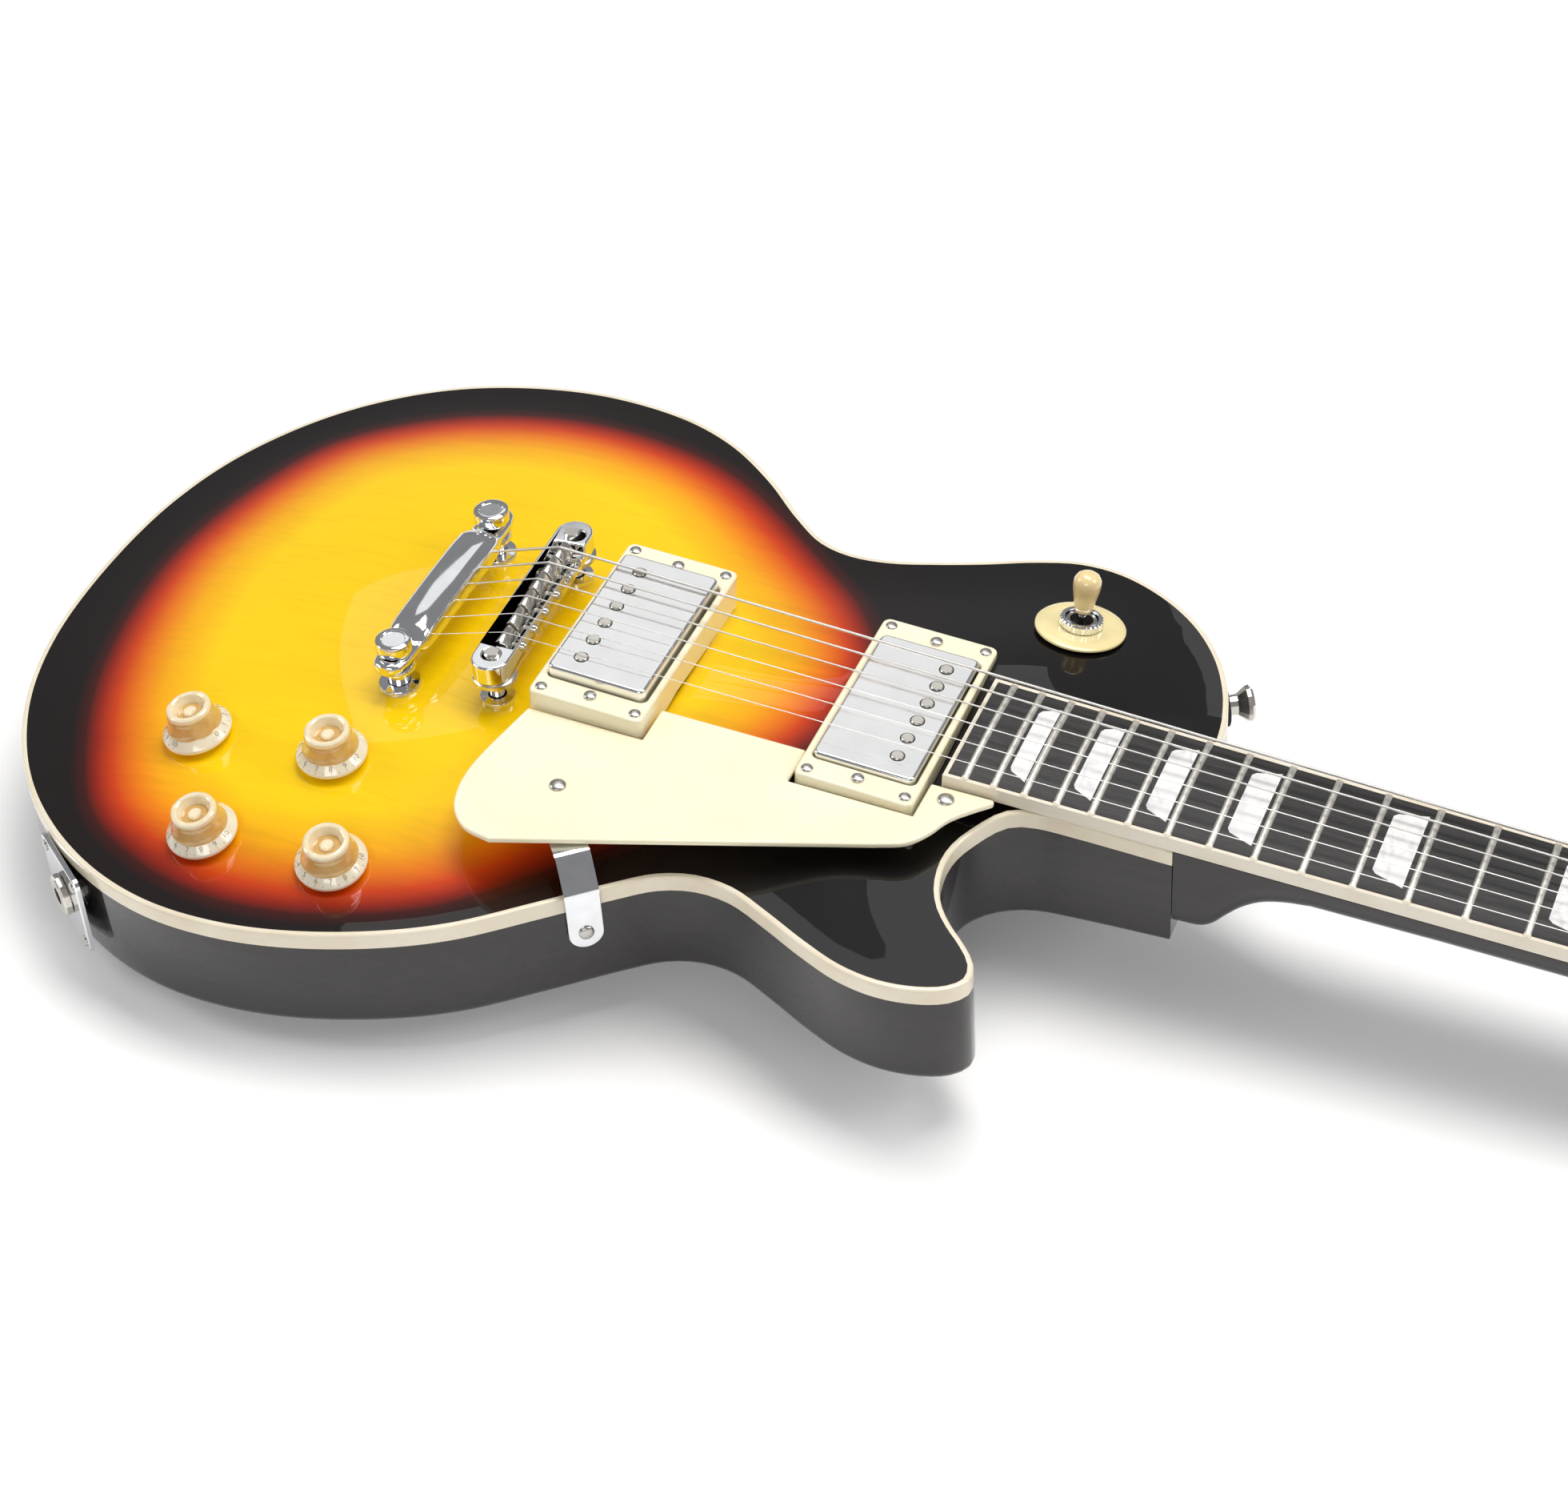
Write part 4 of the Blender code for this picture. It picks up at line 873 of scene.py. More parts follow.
def crown(y, half):
    return BOARD_EDGE + BOARD_CROWN * (1 - (y / half) ** 2)


def fret_s(n):
    return SCALE * 2 ** (-n / 12)


def make_frets():
    for n in range(1, 23):
        s = fret_s(n)
        half = neck_half(s) - BOARD_BINDING
        sections = []
        for k in range(13):
            y = half * (k / 6 - 1)
            base = crown(y, half)
            drop = 0.35 if k in (0, 12) else 0.0
            wire = [(s + 1.35 * math.cos(a), y, base - 0.2 + (1.25 - drop) * math.sin(a)) for a in
                    (math.pi * j / 8 for j in range(9))]
            sections.append(wire)
        finish_piece(f"fret_{n:02d}", loft_bm(sections), FRET_NICKEL, "guitar", NECK_FRAME)
        for side, sign in (("bass", 1), ("treble", -1)):
            edge = neck_half(s)
            sections = []
            for y, tall, wide in ((edge - 1.75, 1.05, 1.45), (edge - 0.9, 0.95, 1.4),
                                  (edge - 0.15, 0.25, 1.1)):
                sections.append([(s + wide * math.cos(a), sign * y,
                                  BOARD_EDGE - 0.2 + (tall + 0.2) * math.sin(a))
                                 for a in (math.pi * j / 8 for j in range(9))])
            finish_piece(f"fret_nib_{n:02d}_{side}", loft_bm(sections), BOARD_IVORY, "guitar", NECK_FRAME)


INLAY_FRETS = (3, 5, 7, 9, 12, 15, 17, 19, 21)


def make_inlays():
    for n in INLAY_FRETS:
        far, near = fret_s(n - 1), fret_s(n)
        gap = far - near
        s_near, s_far = near + gap * 0.22, far - gap * 0.16
        half_board = neck_half((far + near) / 2)
        short, long = half_board * 0.60, half_board * 0.74
        sections = []
        for k in range(25):
            t = k / 12 - 1
            y = long * t
            start = s_near
            if abs(y) > short:
                start = s_near + (s_far - s_near) * (abs(y) - short) / (long - short)
            start = min(start, s_far - 0.05)
            top = crown(y, half_board) + 0.03
            sections.append([(start, y, top), (s_far, y, top), (s_far, y, top - 0.6), (start, y, top - 0.6)])
        finish_piece(f"inlay_{n:02d}", loft_bm(sections), PEARL, "guitar", NECK_FRAME)


def make_fingerboard():
    repaint("fretboard", BOARD)
    repaint("fretboard_binding", BOARD_IVORY, 0.5)
    repaint("nut", BONE)
    repaint("truss_rod", STEEL)
    repaint("truss_rod_cover", BLACK_PLASTIC)
    for k, (u, v) in enumerate(((5.5, 6.5), (5.5, -6.5), (33.5, 0.0))):
        cross_screw(f"truss_cover_screw_{k + 1}", moved(HEAD_FRAME, u, v, 2.2), 1.6, "guitar", proud=0.2)
    for n in INLAY_FRETS:
        s = (fret_s(n) + fret_s(n - 1)) / 2
        for k in range(2 if n == 12 else 1):
            shift = k * 6 - 3 if n == 12 else 0
            spot = moved(NECK_FRAME, s + shift, neck_half(s), 2.9) @ Matrix.Rotation(-math.pi / 2, 4, "X")
            finish_piece(f"side_dot_{n:02d}_{k + 1}",
                         turned_bm([(0, 0.06), (1.0, 0.06), (1.0, -0.4), (0, -0.4)], 20),
                         BLACK_PLASTIC, "guitar", spot)


# ---------------------------------------------------------------- strings
def saddle_point(k):
    """Where a string bends over its saddle."""
    base = bridge_frame()
    y = (2.5 - k) * STRING_PITCH
    return base @ Vector((0, y, SADDLE_PEAK - y * y / 610 + STRING_RADII[k]))


def bridge_frame():
    """The bridge's frame at z = 0, square to the line of its posts."""
    bass = mm_vector(JOINTS["bridge_post_bass_turn"]["pos_m"])
    treble = mm_vector(JOINTS["bridge_post_treble_turn"]["pos_m"])
    middle = (bass + treble) / 2
    middle.z = 0
    across = (bass - treble).normalized()
    return axis_frame(middle, (0, 0, 1), across.cross(Vector((0, 0, 1))))


def tail_x():
    low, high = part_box("tailpiece")
    return (low[0] + high[0]) / 2 / MM


def make_strings():
    for k, radius in enumerate(STRING_RADII):
        mat = WOUND_STRING if k < 3 else PLAIN_STRING
        saddle = saddle_point(k)
        anchor = Vector((tail_x() + 5.0, saddle.y, 68.0))
        middle = anchor.lerp(saddle, 0.5)
        nut_y = (2.5 - k) * NUT_PITCH
        nut = NECK_FRAME @ Vector((SCALE + 1.5, nut_y, 8.4 + radius * 0.4))
        nut_far = NECK_FRAME @ Vector((SCALE + 5.2, nut_y, 7.9 + radius * 0.4))
        order = (0, 1, 2, 2, 1, 0)[k]
        sign = 1 if k < 3 else -1
        post_v = sign * TUNER_V[order]
        reach = Vector((TUNER_U[order], post_v - sign * (2.8 + radius), 11.0))
        post = HEAD_FRAME @ reach
        behind = tube_bm([anchor, anchor.lerp(middle, 0.5), middle], radius, 12)
        first = finish_piece(f"string_{k + 1}_anchor", behind, mat, None)
        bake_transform(first)
        rising = tube_bm([middle, middle.lerp(saddle, 0.5), saddle], radius, 12)
        second = finish_piece(f"string_{k + 1}_rise", rising, mat, None)
        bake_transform(second)
        run = [saddle.lerp(nut, t / 24) for t in range(25)] + [nut_far, nut_far.lerp(post, 0.5), post]
        main = finish_piece(f"string_{k + 1}", tube_bm(run, radius, 12), mat, None)
        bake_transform(main)
        turns, steps = 4, 96
        coil = []
        for j in range(steps + 1):
            a = sign * math.pi / -2 + sign * 2 * math.pi * turns * j / steps
            drop = 2.05 * radius * turns * j / steps
            coil.append((TUNER_U[order] + (2.9 + radius) * math.cos(a),
                         post_v + (2.9 + radius) * math.sin(a), 11.0 - drop))
        body = f"tuner_post_{'bass' if sign > 0 else 'treble'}_{order + 1}"
        finish_piece(f"string_{k + 1}_turns", tube_bm([HEAD_FRAME @ Vector(p) for p in coil], radius, 8),
                     mat, body)


# ---------------------------------------------------------------- bridge and tailpiece
def make_bridge():
    base = bridge_frame()
    low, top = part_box("bridge_body")
    low_z, top_z = low[2] / MM, top[2] / MM
    outline = arc(0, 38.5, 7.2, 0, 180, 20) + arc(0, -38.5, 7.2, 180, 360, 20)
    bar = finish_piece("bridge_bar", plate_bm([outline], low_z, top_z), CHROME, "bridge", base,
                       ["bridge_body"])
    cut_piece(bar, box_bm((-6.1, -31.8, 70.2), (6.1, 31.8, 80)))
    for sign in (1, -1):
        cut_piece(bar, turned_bm([(0, 80), (3.35, 80), (3.35, 60), (0, 60)], 28),
                  Matrix.Translation((0, sign * 37, 0)))
    edge = bar.modifiers.new("edge", "BEVEL")
    edge.width = 0.7 * MM
    edge.segments = 3
    edge.limit_method = "ANGLE"
    edge.angle_limit = math.radians(40)
    for k in range(6):
        y = (2.5 - k) * STRING_PITCH
        peak = SADDLE_PEAK - y * y / 610
        side_view = [(-3, 71.3), (3, 71.3), (3, 74.2), (1.6, peak - 1.0), (0.35, peak), (-0.35, peak),
                     (-1.6, peak - 1.2), (-3, 73.8)]
        spot = moved(base, 0, y, 0) @ Matrix.Rotation(math.pi / 2, 4, "X")
        saddle = finish_piece(f"saddle_{k + 1}_block", plate_bm([side_view], -4.7, 4.7), NICKEL,
                              f"saddle_{k + 1}", spot,
                              [f"saddle_{k + 1}"], bevel=0.25)
        groove = STRING_RADII[k] * 1.15
        cut_piece(saddle, box_bm((-4, peak - STRING_RADII[k] * 0.9 - 0.3, -groove), (4, peak + 1, groove)))
        out = moved(base, 7.3, y, 72.2) @ Matrix.Rotation(math.pi / 2, 4, "Y")
        slot_screw(f"intonation_screw_{k + 1}", out, 1.9, "bridge", NICKEL, 1.2, 15 + 37 * k)
        rod = tube_bm([base @ Vector((-5.8, y, 72.2)), base @ Vector((5.8, y, 72.2))], 0.9, 12)
        finish_piece(f"intonation_rod_{k + 1}", rod, NICKEL, "bridge")
    for side in ("bass", "treble"):
        place = joint_frame(f"bridge_post_{side}_turn")
        place.translation.z = 0
        low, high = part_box(f"bridge_post_{side}")
        top_z, low_z = high[2] / MM, low[2] / MM
        profile = [(0, top_z), (2.5, top_z), (3.1, top_z - 0.5), (3.1, 67.3), (7.6, 67.0), (8.3, 66.4),
                   (8.3, 65.0), (7.6, 64.4),
                   (2.9, 64.2), (2.9, low_z), (0, low_z)]
        post = finish_piece(f"bridge_post_{side}_turned", turned_bm(profile, 40), NICKEL,
                            f"bridge_post_{side}", place,
                            [f"bridge_post_{side}"])
        cut_piece(post, box_bm((-4, -0.55, top_z - 1.3), (4, 0.55, top_z + 1)), Matrix.Rotation(0.5, 4, "Z"))
        collar = [(3.5, 57.3), (6.4, 57.0), (6.6, 56.4), (6.6, 50), (3.5, 50), (3.5, 57.3)]
        finish_piece(f"bridge_bushing_{side}", turned_bm(collar, 40), CHROME, "guitar", place)


def tail_ring(y, half, low, high):
    ring = []
    for k in range(32):
        angle = 2 * math.pi * (k + 0.5) / 32
        c, d = math.cos(angle), math.sin(angle)
        x = half * math.copysign(abs(c) ** 0.72, c)
        z = (low + high) / 2 + (high - low) / 2 * math.copysign(abs(d) ** 0.72, d)
        ring.append((x, y, z))
    return ring


TAIL_SHAPE = [(0, 8.6, 62.2, 75.2), (10, 8.6, 62.2, 75.1), (20, 8.6, 62.2, 74.8), (27, 8.5, 62.3, 74.4),
              (30, 8.1, 62.8, 73.7), (32, 7.4, 64.0, 72.2), (33.6, 6.9, 65.6, 71.0), (36, 6.7, 65.8, 70.8),
              (43, 6.7, 65.8, 70.8), (48, 5.6, 65.9, 70.7), (50, 4.0, 66.0, 70.6), (51, 1.6, 66.5, 70.2)]


def make_tailpiece():
    middle = Matrix.Translation(Vector((tail_x(), 0, 0)))
    outward = [tail_ring(*section) for section in TAIL_SHAPE]
    mirrored = [[(x, -y, z) for x, y, z in ring] for ring in outward[:0:-1]]
    bar = finish_piece("tailpiece_bar", loft_bm(mirrored + outward), CHROME, "tailpiece", middle,
                       ["tailpiece"], sharp_deg=60)
    for k in range(6):
        y = saddle_point(k).y
        hole = Matrix.Translation((0, y, 68.0)) @ Matrix.Rotation(math.pi / 2, 4, "Y")
        cut_piece(bar, turned_bm([(0, 14), (1.5, 14), (1.5, 3), (0, 3)], 20), hole)
        cut_piece(bar, turned_bm([(0, -3), (2.4, -3), (2.4, -14), (0, -14)], 20), hole)
        ball = moved(middle, -6.2, y, 68.0) @ Matrix.Rotation(math.pi / 2, 4, "Y")
        finish_piece(f"string_ball_{k + 1}",
                     turned_bm([(0, 1.6), (1.2, 1.6), (2.0, 0.8), (2.0, -0.8), (1.2, -1.6), (0, -1.6)], 20),
                     GOLD, "tailpiece", ball)
    for side, sign in (("bass", 1), ("treble", -1)):
        spot = joint_frame(f"tailpiece_stud_{side}_turn")
        spot.translation.z = 0
        slot = [(12, -3.5), (12, 3.5)] + arc(0, 0, 3.5, 90, 270, 16)
        cut_piece(bar, plate_bm([slot], 55, 85), Matrix.Translation((0, sign * 41, 0)))
        low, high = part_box(f"tailpiece_stud_{side}")
        top_z, low_z = high[2] / MM, low[2] / MM
        profile = [(0, top_z - 0.5), (4.2, top_z - 0.5), (4.6, top_z), (5.7, top_z), (6.6, top_z - 0.5),
                   (6.8, top_z - 1.2), (6.8, 72.0), (6.3, 71.2), (3.1, 71.1), (3.1, 65.5), (6.4, 65.4),
                   (6.8, 64.8), (6.8, 63.2), (6.3, 62.7), (4.0, 62.4), (4.0, low_z), (0, low_z)]
        stud = finish_piece(f"tailpiece_stud_{side}_turned", turned_bm(profile, 48), CHROME,
                            f"tailpiece_stud_{side}", spot,
                            [f"tailpiece_stud_{side}"])
        cut_piece(stud, box_bm((-8, -0.75, top_z - 2.2), (8, 0.75, top_z + 1)),
                  Matrix.Rotation(-0.35, 4, "Z"))
        collar = [(4.3, 57.0), (7.6, 56.8), (8.0, 56.2), (8.0, 48), (4.3, 48), (4.3, 57.0)]
        finish_piece(f"tailpiece_bushing_{side}", turned_bm(collar, 40), CHROME, "guitar", spot)


# ---------------------------------------------------------------- pickups
def make_pickups():
    for where, x in PICKUP_X.items():
        tilt = Matrix.Rotation(PICKUP_TILT, 4, "Y")
        cover_place = Matrix.Translation(Vector((x, 0, COVER_TOP[where]))) @ tilt
        shell = plate_bm([rounded_rectangle(38, 70, 2.6, 8)], -18, 0)
        cover = finish_piece(f"pickup_cover_{where}", shell, COVER_CHROME, f"pickup_{where}", cover_place,
                             [f"pickup_{where}"], bevel=1.1)
        cover.modifiers["edge"].segments = 4
        row = -9.3 if where == "bridge" else 9.3
        pitch = 10.4 if where == "bridge" else 10.0
        for k in range(6):
            place = moved(cover_place, row, (2.5 - k) * pitch, 0.1)
            # A near-black disc under each pole screw paints the shade in the gap round the screw.
            rim = turned_bm([(0, 0.03), (2.75, 0.03), (2.75, -0.4), (0, -0.4)], 32)
            finish_piece(f"pole_gap_shade_disc_{where}_{k + 1}", rim, POLE_GAP_SHADE, f"pickup_{where}", place)
            slot_screw(f"pole_{where}_{k + 1}", place, 2.4, f"pickup_{where}", NICKEL, 0.45, 25 + 41 * k)
        ring_place = Matrix.Translation(Vector((x, 0, RING_TOP[where]))) @ tilt
        loops = [divided(rounded_rectangle(44.4, 91.6, 3, 6), 5),
                 divided(rounded_rectangle(38.9, 70.9, 2.6, 5), 5)]
        bm = plate_bm(loops, -3, 0)
        for v in bm.verts:
            if v.co.z < -1:
                for _ in range(4):
                    spot = ring_place @ v.co
                    v.co.z -= spot.z - top_height(spot.x, spot.y) - 0.15
        ring = finish_piece(f"mounting_ring_{where}", bm, CREAM, "guitar", ring_place,
                            [f"pickup_ring_{where}"],
                            bevel=0.9)
        spots = [(sx, sy) for sx in (-18.3, 18.3) for sy in (-41.85, 41.85)]
        for k, (sx, sy) in enumerate(spots):
            cross_screw(f"ring_screw_{where}_{k + 1}", moved(ring_place, sx, sy, -0.2), 2.2, "guitar",
                        proud=0.3)
        for k, sy in enumerate((-39.8, 39.8)):
            cross_screw(f"height_screw_{where}_{k + 1}", moved(ring_place, 0, sy, 0.1), 2.3, "guitar",
                        proud=0.5)


GUARD_OUTLINE = [(18.2, -46.8), (62.9, -46.8), (62.9, -29.6), (118.6, -29.6), (118.6, -46.9), (165.2, -46.9),
                 (165.4, -28.9), (188.6, -28.6)]
GUARD_EDGE = [(189.2, -30.5), (183, -37), (177.5, -44), (173.5, -53), (168, -60.5), (158, -65.5)]
GUARD_FRONT = [(34.6, -114.2), (24.5, -112), (17, -105), (13.4, -95), (12.6, -84), (13.6, -73)]


def make_pickguard():
    outline = GUARD_OUTLINE + smooth_path(GUARD_EDGE, 1.5) + smooth_path(GUARD_FRONT, 1.5)
    place = Matrix.Translation(Vector((0, 0, GUARD_TOP))) @ Matrix.Rotation(GUARD_SLOPE, 4, "Y")
    finish_piece("pickguard_plate", plate_bm([outline[::-1]], -GUARD_THICK, 0), CREAM, "guitar", place,
                 ["pickguard"], bevel=0.8)
    for k, (x, y) in enumerate(((45.4, -80.5), (173.1, -35.1))):
        cross_screw(f"pickguard_screw_{k + 1}", moved(place, x, y, 0), 3.0, "guitar", proud=0.4)
    out = Vector((0.64, -0.768, 0))
    turn = Matrix((out, Vector((0, 0, 1)), -Vector((0, 0, 1)).cross(out))).transposed().to_4x4()
    upper = [(-23, 57.7), (-8, 57.1), (-6, 56.7), (-4.6, 55.4), (0.9, 46.4), (1.6, 45.1), (1.9, 43.6),
             (1.9, 43.5)]
    thick = [(0, 1.3), (0.3, 1.3), (0.8, 1.1), (1.1, 0.7), (1.1, 0.7), (1.2, 0.4), (1.3, 0), (1.3, 0)]
    lower = [(u - du, z - dz) for (u, z), (du, dz) in zip(upper, thick)]
    side_place = Matrix.Translation(Vector((66.6, -111.6, 0))) @ turn
    strap = finish_piece("bracket_strip", plate_bm([upper + lower[::-1]], -6.3, 6.3), CHROME, "guitar",
                         side_place,
                         ["pickguard_bracket"])
    tongue = [(6.3, 43.7), (-6.3, 43.7)] + arc(0, 26.4, 6.3, 180, 360, 24)
    upright = Matrix(((0, 0, 1, 0), (0, 1, 0, 0), (-1, 0, 0, 0), (0, 0, 0, 1)))
    finish_piece("bracket_tongue", plate_bm([tongue], 0.6, 1.9), CHROME, "guitar", side_place @ upright,
                 bevel=0.2)
    screw_place = moved(side_place, 1.9, 26.9, 0) @ Matrix.Rotation(math.pi / 2, 4, "Y")
    cross_screw("bracket_screw", screw_place, 2.8, "guitar", proud=0.4)


# ---------------------------------------------------------------- controls
KNOB_ZERO_DEG = {"volume_neck": 81.0, "tone_neck": -15.0, "tone_bridge": 84.0, "volume_bridge": 108.0}
KNOB_STEP_DEG = 27.0
SKIRT_FOOT = (12.75, 1.7)
SKIRT_HEAD = (10.35, 4.15)


def number_bm(text, height):
    """The flat mesh of a number, centred, with its top along +Y."""
    curve = bpy.data.curves.new("number", "FONT")
    curve.body = text
    curve.size = height / 0.7
    curve.align_x = "CENTER"
    curve.align_y = "CENTER"
    curve.resolution_u = 4
    curve.extrude = 0.05
    holder = bpy.data.objects.new("number", curve)
    bpy.context.scene.collection.objects.link(holder)
    bpy.context.view_layer.update()
    mesh = bpy.data.meshes.new_from_object(holder.evaluated_get(bpy.context.evaluated_depsgraph_get()))
    bm = bmesh.new()
    bm.from_mesh(mesh)
    bpy.data.objects.remove(holder, do_unlink=True)
    bpy.data.meshes.remove(mesh)
    return bm


def skirt_place(angle_deg, share):
    """A frame on the skirt's slope at an angle round the knob, facing out of it."""
    radius = SKIRT_FOOT[0] + (SKIRT_HEAD[0] - SKIRT_FOOT[0]) * share
    level = SKIRT_FOOT[1] + (SKIRT_HEAD[1] - SKIRT_FOOT[1]) * share
    slope = math.atan2(SKIRT_HEAD[1] - SKIRT_FOOT[1], SKIRT_FOOT[0] - SKIRT_HEAD[0])
    spin = Matrix.Rotation(math.radians(angle_deg + 90), 4, "Z")
    return spin @ Matrix.Translation(Vector((0, -radius, level))) @ Matrix.Rotation(slope, 4, "X")


def make_knob(name):
    body = f"knob_{name}"
    place = joint_frame(f"{body}_turn")
    skirt_shape = [(9.9, 4.6), SKIRT_HEAD, SKIRT_FOOT, (12.97, 1.4), (13.0, 0.8), (12.85, 0.15),
                   (12.5, 0), (3, 0), (3, -9),
                   (0, -9), (0, 4.4)]
    finish_piece(f"{body}_skirt", turned_bm(skirt_shape, 72), SKIRT, body, place,
                 [body], sharp_deg=40)
    wall = [(8.3, 11.0), (8.45, 9.9), (8.75, 9.4), (8.85, 8.8), (9.4, 6.4), (9.9, 4.7), (10.3, 4.2),
            (8, 4.1), (8, 11), (8.3, 11.0)]
    finish_piece(f"{body}_wall", turned_bm(wall, 72), GOLD, body, place, sharp_deg=30)
    top = [(4.9, 9.0), (5.3, 10.0), (5.7, 11.6), (6.1, 12.4), (6.7, 12.75), (7.5, 12.7), (8.1, 12.3),
           (8.35, 11.6), (8.35, 10.9),
           (7.8, 9.0), (4.9, 9.0)]
    finish_piece(f"{body}_crown", turned_bm(top, 72), CLEAR_CAP, body, place,
                 sharp_deg=30)
    finish_piece(f"{body}_floor", turned_bm([(0, 9.3), (5.4, 9.3), (5.4, 8.6), (0, 8.6)], 48), GOLD, body,
                 place)
    spline = turned_bm([(0, 10.6), (1.9, 10.6), (2.5, 10.3), (2.8, 9.7), (2.8, 9.0), (0, 9.0)], 48)
    for v in spline.verts:
        if round(math.atan2(v.co.y, v.co.x) / (2 * math.pi) * 48) % 2:
            v.co.x *= 0.86
            v.co.y *= 0.86
    finish_piece(f"{body}_insert", spline, CLEAR_CAP, body, place, sharp_deg=20)
    numbers = bmesh.new()
    for n in range(11):
        angle = KNOB_ZERO_DEG[name] + KNOB_STEP_DEG * n
        join_bm(numbers, (number_bm(str(n), 2.0), skirt_place(angle, 0.64)))
        for share in (-0.5, 0.0, 0.5):
            tick = box_bm((-0.09, -0.34, -0.05), (0.09, 0.34, 0.05))
            if n < 10 or share == 0.0:
                join_bm(numbers, (tick, skirt_place(angle + KNOB_STEP_DEG * share, 0.18)))
    finish_piece(f"{body}_numbers", numbers, NUMBER_INK, body, place)


def make_controls():
    for name in KNOB_ZERO_DEG:
        make_knob(name)
    base = switch_frame()
    ring = [(6.3, 5.0), (13.0, 5.0), (16.2, 4.8), (16.9, 4.3), (17, 3.7), (6.3, 3.6), (6.3, 5.0)]
    finish_piece("switch_ring", turned_bm(ring, 72), WASHER_CREAM, "guitar", base,
                 ["switch_washer"])
    nut = [(6.2, 8.3), (6.8, 8.5), (7.6, 8.4), (8.2, 7.9), (8.2, 5.6), (7.8, 5.2), (6.2, 5.2), (6.2, 8.3)]
    knurled = turned_bm(nut, 72)
    for v in knurled.verts:
        radius = math.hypot(v.co.x, v.co.y)
        if radius > 7.9 and round(math.atan2(v.co.y, v.co.x) / (2 * math.pi) * 72) % 2:
            v.co.x *= 0.955
            v.co.y *= 0.955
    finish_piece("switch_collar", knurled, CHROME, "guitar", base, ["switch_nut"],
                 sharp_deg=20)
    tip = [(0, 27.5), (1.6, 27.4), (3.0, 26.9), (4.2, 26.0), (5.0, 24.6), (5.25, 22.8), (5.1, 20.6),
           (4.5, 17.5), (3.9, 14.4), (3.5, 12.2),
           (3.2, 11.3), (0, 11.2)]
    finish_piece("switch_tip", turned_bm(tip, 40), SWITCH_CREAM, "switch_lever", base,
                 ["switch_lever"])
    stem = [(0, 12), (1.6, 12), (1.6, -12), (0, -12)]
    finish_piece("switch_stem", turned_bm(stem, 24), CHROME, "switch_lever", base)
    repaint("switch_housing", STEEL)
    repaint("control_cavity_cover", BLACK_PLASTIC, 0.3)
    repaint("switch_cavity_cover", BLACK_PLASTIC, 0.3)
    for name in ("volume_neck", "tone_neck", "volume_bridge", "tone_bridge"):
        repaint(f"pot_{name}", STEEL)
    down = Matrix.Rotation(math.pi, 4, "X")
    for k, (x, y) in enumerate(((-8, -67), (-9, -141), (-80, -148.5), (-114, -125), (-110, -71))):
        cross_screw(f"control_cover_screw_{k + 1}", Matrix.Translation(Vector((x, y, 0.5))) @ down, 1.9,
                    "guitar", proud=0.1)
    for k in range(3):
        a = math.radians(90 + 120 * k)
        spot = Vector((base.translation.x + 22 * math.cos(a), base.translation.y + 22 * math.sin(a), 0.5))
        cross_screw(f"switch_cover_screw_{k + 1}", Matrix.Translation(spot) @ down, 1.9, "guitar", proud=0.1)


# ---------------------------------------------------------------- jack, straps, tuners
def make_jack():
    place = axis_frame(JACK_PLACE, JACK_OUT, (0, 0, 1))
    repaint("jack_plate", CHROME)
    repaint("jack_socket", NICKEL)
    for k, (sx, sy) in enumerate(((-13, -13.5), (-13, 13.5), (13, -13.5), (13, 13.5))):
        cross_screw(f"jack_screw_{k + 1}", moved(place, sx, sy, 2.6), 2.2, "guitar", proud=0.2)


def make_strap_buttons():
    repaint("strap_button_tail", NICKEL)
    repaint("strap_button_horn", NICKEL)
    for mount in frame["record"]["mounts"]:
        if mount["name"].startswith("strap_button"):
            place = axis_frame(mm_vector(mount["pos_m"]), mount["axis"], (0, 0, 1))
            where = mount["name"].split("_")[2]
            cross_screw(f"strap_screw_{where}", moved(place, 0, 0, -0.4), 2.6, "guitar", proud=0.3)
            felt = [(4.2, -9.2), (7.6, -9.4), (8.0, -10.4), (7.6, -11.7), (4.2, -11.8), (4.2, -9.2)]
            finish_piece(f"strap_felt_{where}", turned_bm(felt, 40), FELT, "guitar", place)


def make_tuners():
    for side, sign in (("bass", 1), ("treble", -1)):
        repaint(f"tuner_housing_{side}", CHROME, 0.5)
        for k, (u, v) in enumerate(zip(TUNER_U, TUNER_V)):
            repaint(f"tuner_post_{side}_{k + 1}", CHROME, 0.2)
            repaint(f"tuner_button_{side}_{k + 1}", CHROME)
            place = moved(HEAD_FRAME, u, sign * v, 0)
            bushing = [(3.5, 5.2), (4.6, 5.2), (5.0, 4.8), (5.0, 1.4), (7.4, 1.1), (7.8, 0.7),
                       (7.8, 0.05), (3.5, 0.05), (3.5, 5.2)]
            finish_piece(f"tuner_bushing_{side}_{k + 1}", turned_bm(bushing, 40), CHROME, "guitar", place)


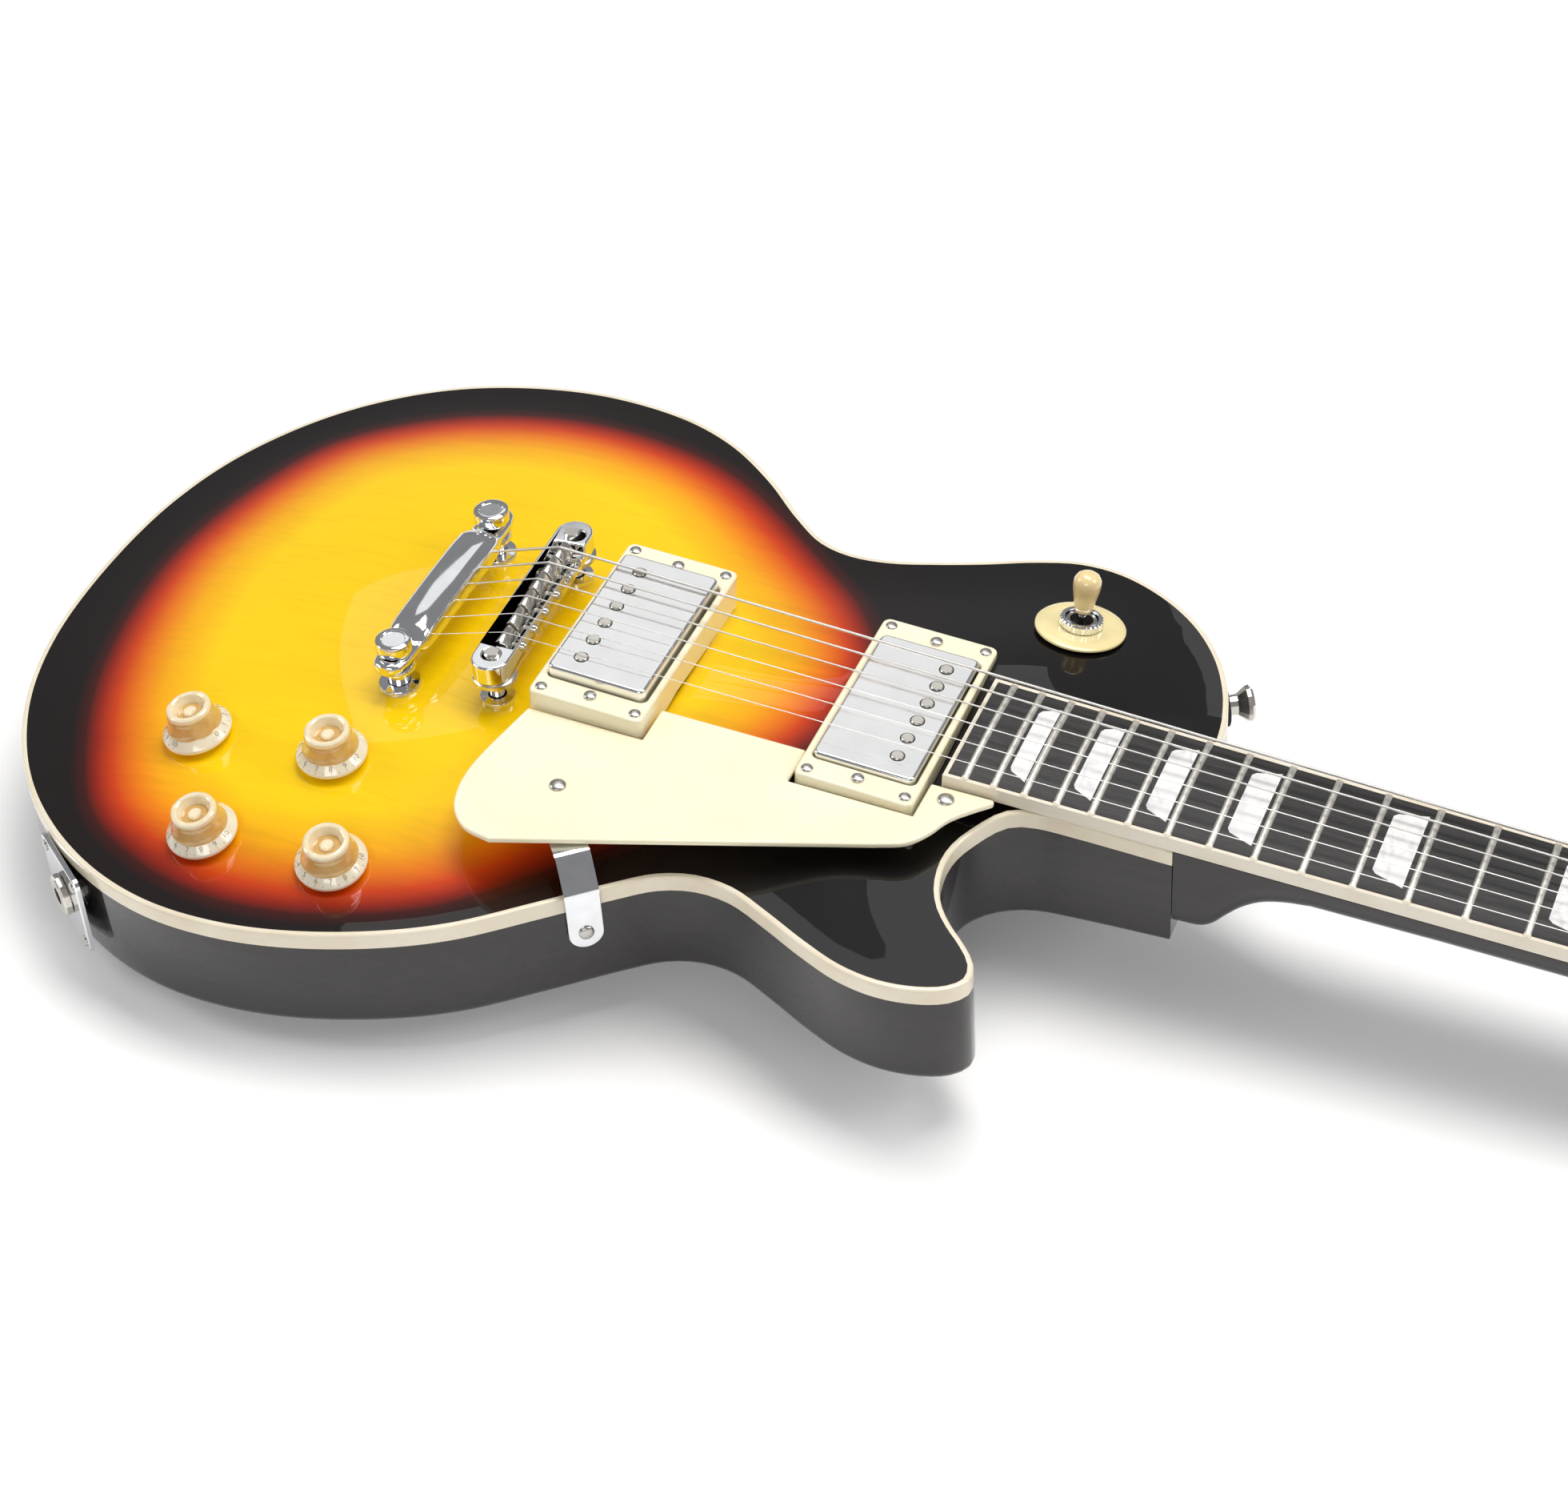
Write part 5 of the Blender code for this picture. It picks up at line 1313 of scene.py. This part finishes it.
# ---------------------------------------------------------------- surroundings
def make_stage():
    """A pale floor that the tail's edge and the headstock's end rest on, and soft lights."""
    tail = Vector((CAD_BOX[0][0] + 0.013, 0, 0.0))
    deepest = min((Vector(v.co) for v in frame["nodes"]["neck"].data.vertices), key=lambda p: p.z)
    for name in ("tuner_button_bass_3", "tuner_button_treble_3"):
        lowest = min((Vector(v.co) for v in frame["nodes"][name].data.vertices), key=lambda p: p.z)
        deepest = min(deepest, lowest, key=lambda p: p.z)
    lean = math.atan2(tail.z - deepest.z, deepest.x - tail.x)
    bm = bmesh.new()
    bmesh.ops.create_grid(bm, x_segments=8, y_segments=8, size=3.0)
    mesh = bpy.data.meshes.new("floor")
    bm.to_mesh(mesh)
    bm.free()
    mesh.materials.append(FLOOR)
    floor = bpy.data.objects.new("floor", mesh)
    bpy.context.scene.collection.objects.link(floor)
    up = Vector((math.sin(lean), 0, math.cos(lean)))
    floor.matrix_world = Matrix.Translation(tail - up * 0.001) @ Matrix.Rotation(lean, 4, "Y")

    def area(name, spot, target, size, power, colour=(1, 1, 1), size_y=None):
        light = bpy.data.lights.new(name, "AREA")
        light.shape = "RECTANGLE"
        light.size = size
        light.size_y = size_y or size
        light.energy = power
        light.color = colour
        obj = bpy.data.objects.new(name, light)
        bpy.context.scene.collection.objects.link(obj)
        obj.location = spot
        obj.rotation_euler = (Vector(target) - Vector(spot)).to_track_quat("-Z", "Y").to_euler()

    area("top_softbox", (0.25, 0.55, 1.9), (0.1, 0, 0), 1.5, 27, (1, 0.99, 0.97), 0.8)
    area("front_softbox", (0.5, -1.9, 1.1), (0.1, 0, 0), 1.2, 9, (1.0, 0.98, 0.96), 0.6)
    area("back_panel", (-0.55, 1.5, 1.55), (0.05, 0, 0.07), 1.0, 1.1, (1, 1, 1), 0.5)
    area("side_softbox", (-1.6, -0.3, 1.2), (0, 0, 0), 0.9, 9)
    area("end_softbox", (1.9, 0.4, 1.3), (0.3, 0, 0), 0.9, 12)
    world = bpy.data.worlds.new("studio")
    bpy.context.scene.world = world
    world.use_nodes = True
    world.node_tree.nodes["Background"].inputs["Color"].default_value = (0.98, 0.98, 1.0, 1)
    world.node_tree.nodes["Background"].inputs["Strength"].default_value = 0.26
    bpy.context.scene.view_settings.view_transform = "Standard"


def make_camera():
    """The studio camera: azimuth, elevation and roll of its view, its place and its lens."""
    azimuth, elevation, roll = math.radians(26.6), math.radians(40.4), math.radians(5.33)
    back = Vector((math.sin(azimuth) * math.cos(elevation), -math.cos(azimuth) * math.cos(elevation),
                   math.sin(elevation)))
    right = (-back).cross(Vector((0, 0, 1))).normalized()
    down = (-back).cross(right)
    rolled_right = right * math.cos(roll) + down * math.sin(roll)
    rolled_down = down * math.cos(roll) - right * math.sin(roll)
    turn = Matrix((rolled_right, -rolled_down, back)).transposed().to_4x4()
    lens = bpy.data.cameras.new("camera")
    lens.sensor_width = 36
    lens.lens = 79.56
    lens.shift_x = 0.053
    lens.shift_y = -0.0022
    camera = bpy.data.objects.new("camera", lens)
    bpy.context.scene.collection.objects.link(camera)
    camera.matrix_world = Matrix.Translation(Vector((0.5018, -0.8780, 0.8535))) @ turn
    bpy.context.scene.camera = camera


make_top()
make_sides()
make_binding()
make_neck()
make_frets()
make_inlays()
make_fingerboard()
make_strings()
make_bridge()
make_tailpiece()
make_pickups()
make_pickguard()
make_controls()
make_jack()
make_strap_buttons()
make_tuners()
make_stage()
make_camera()
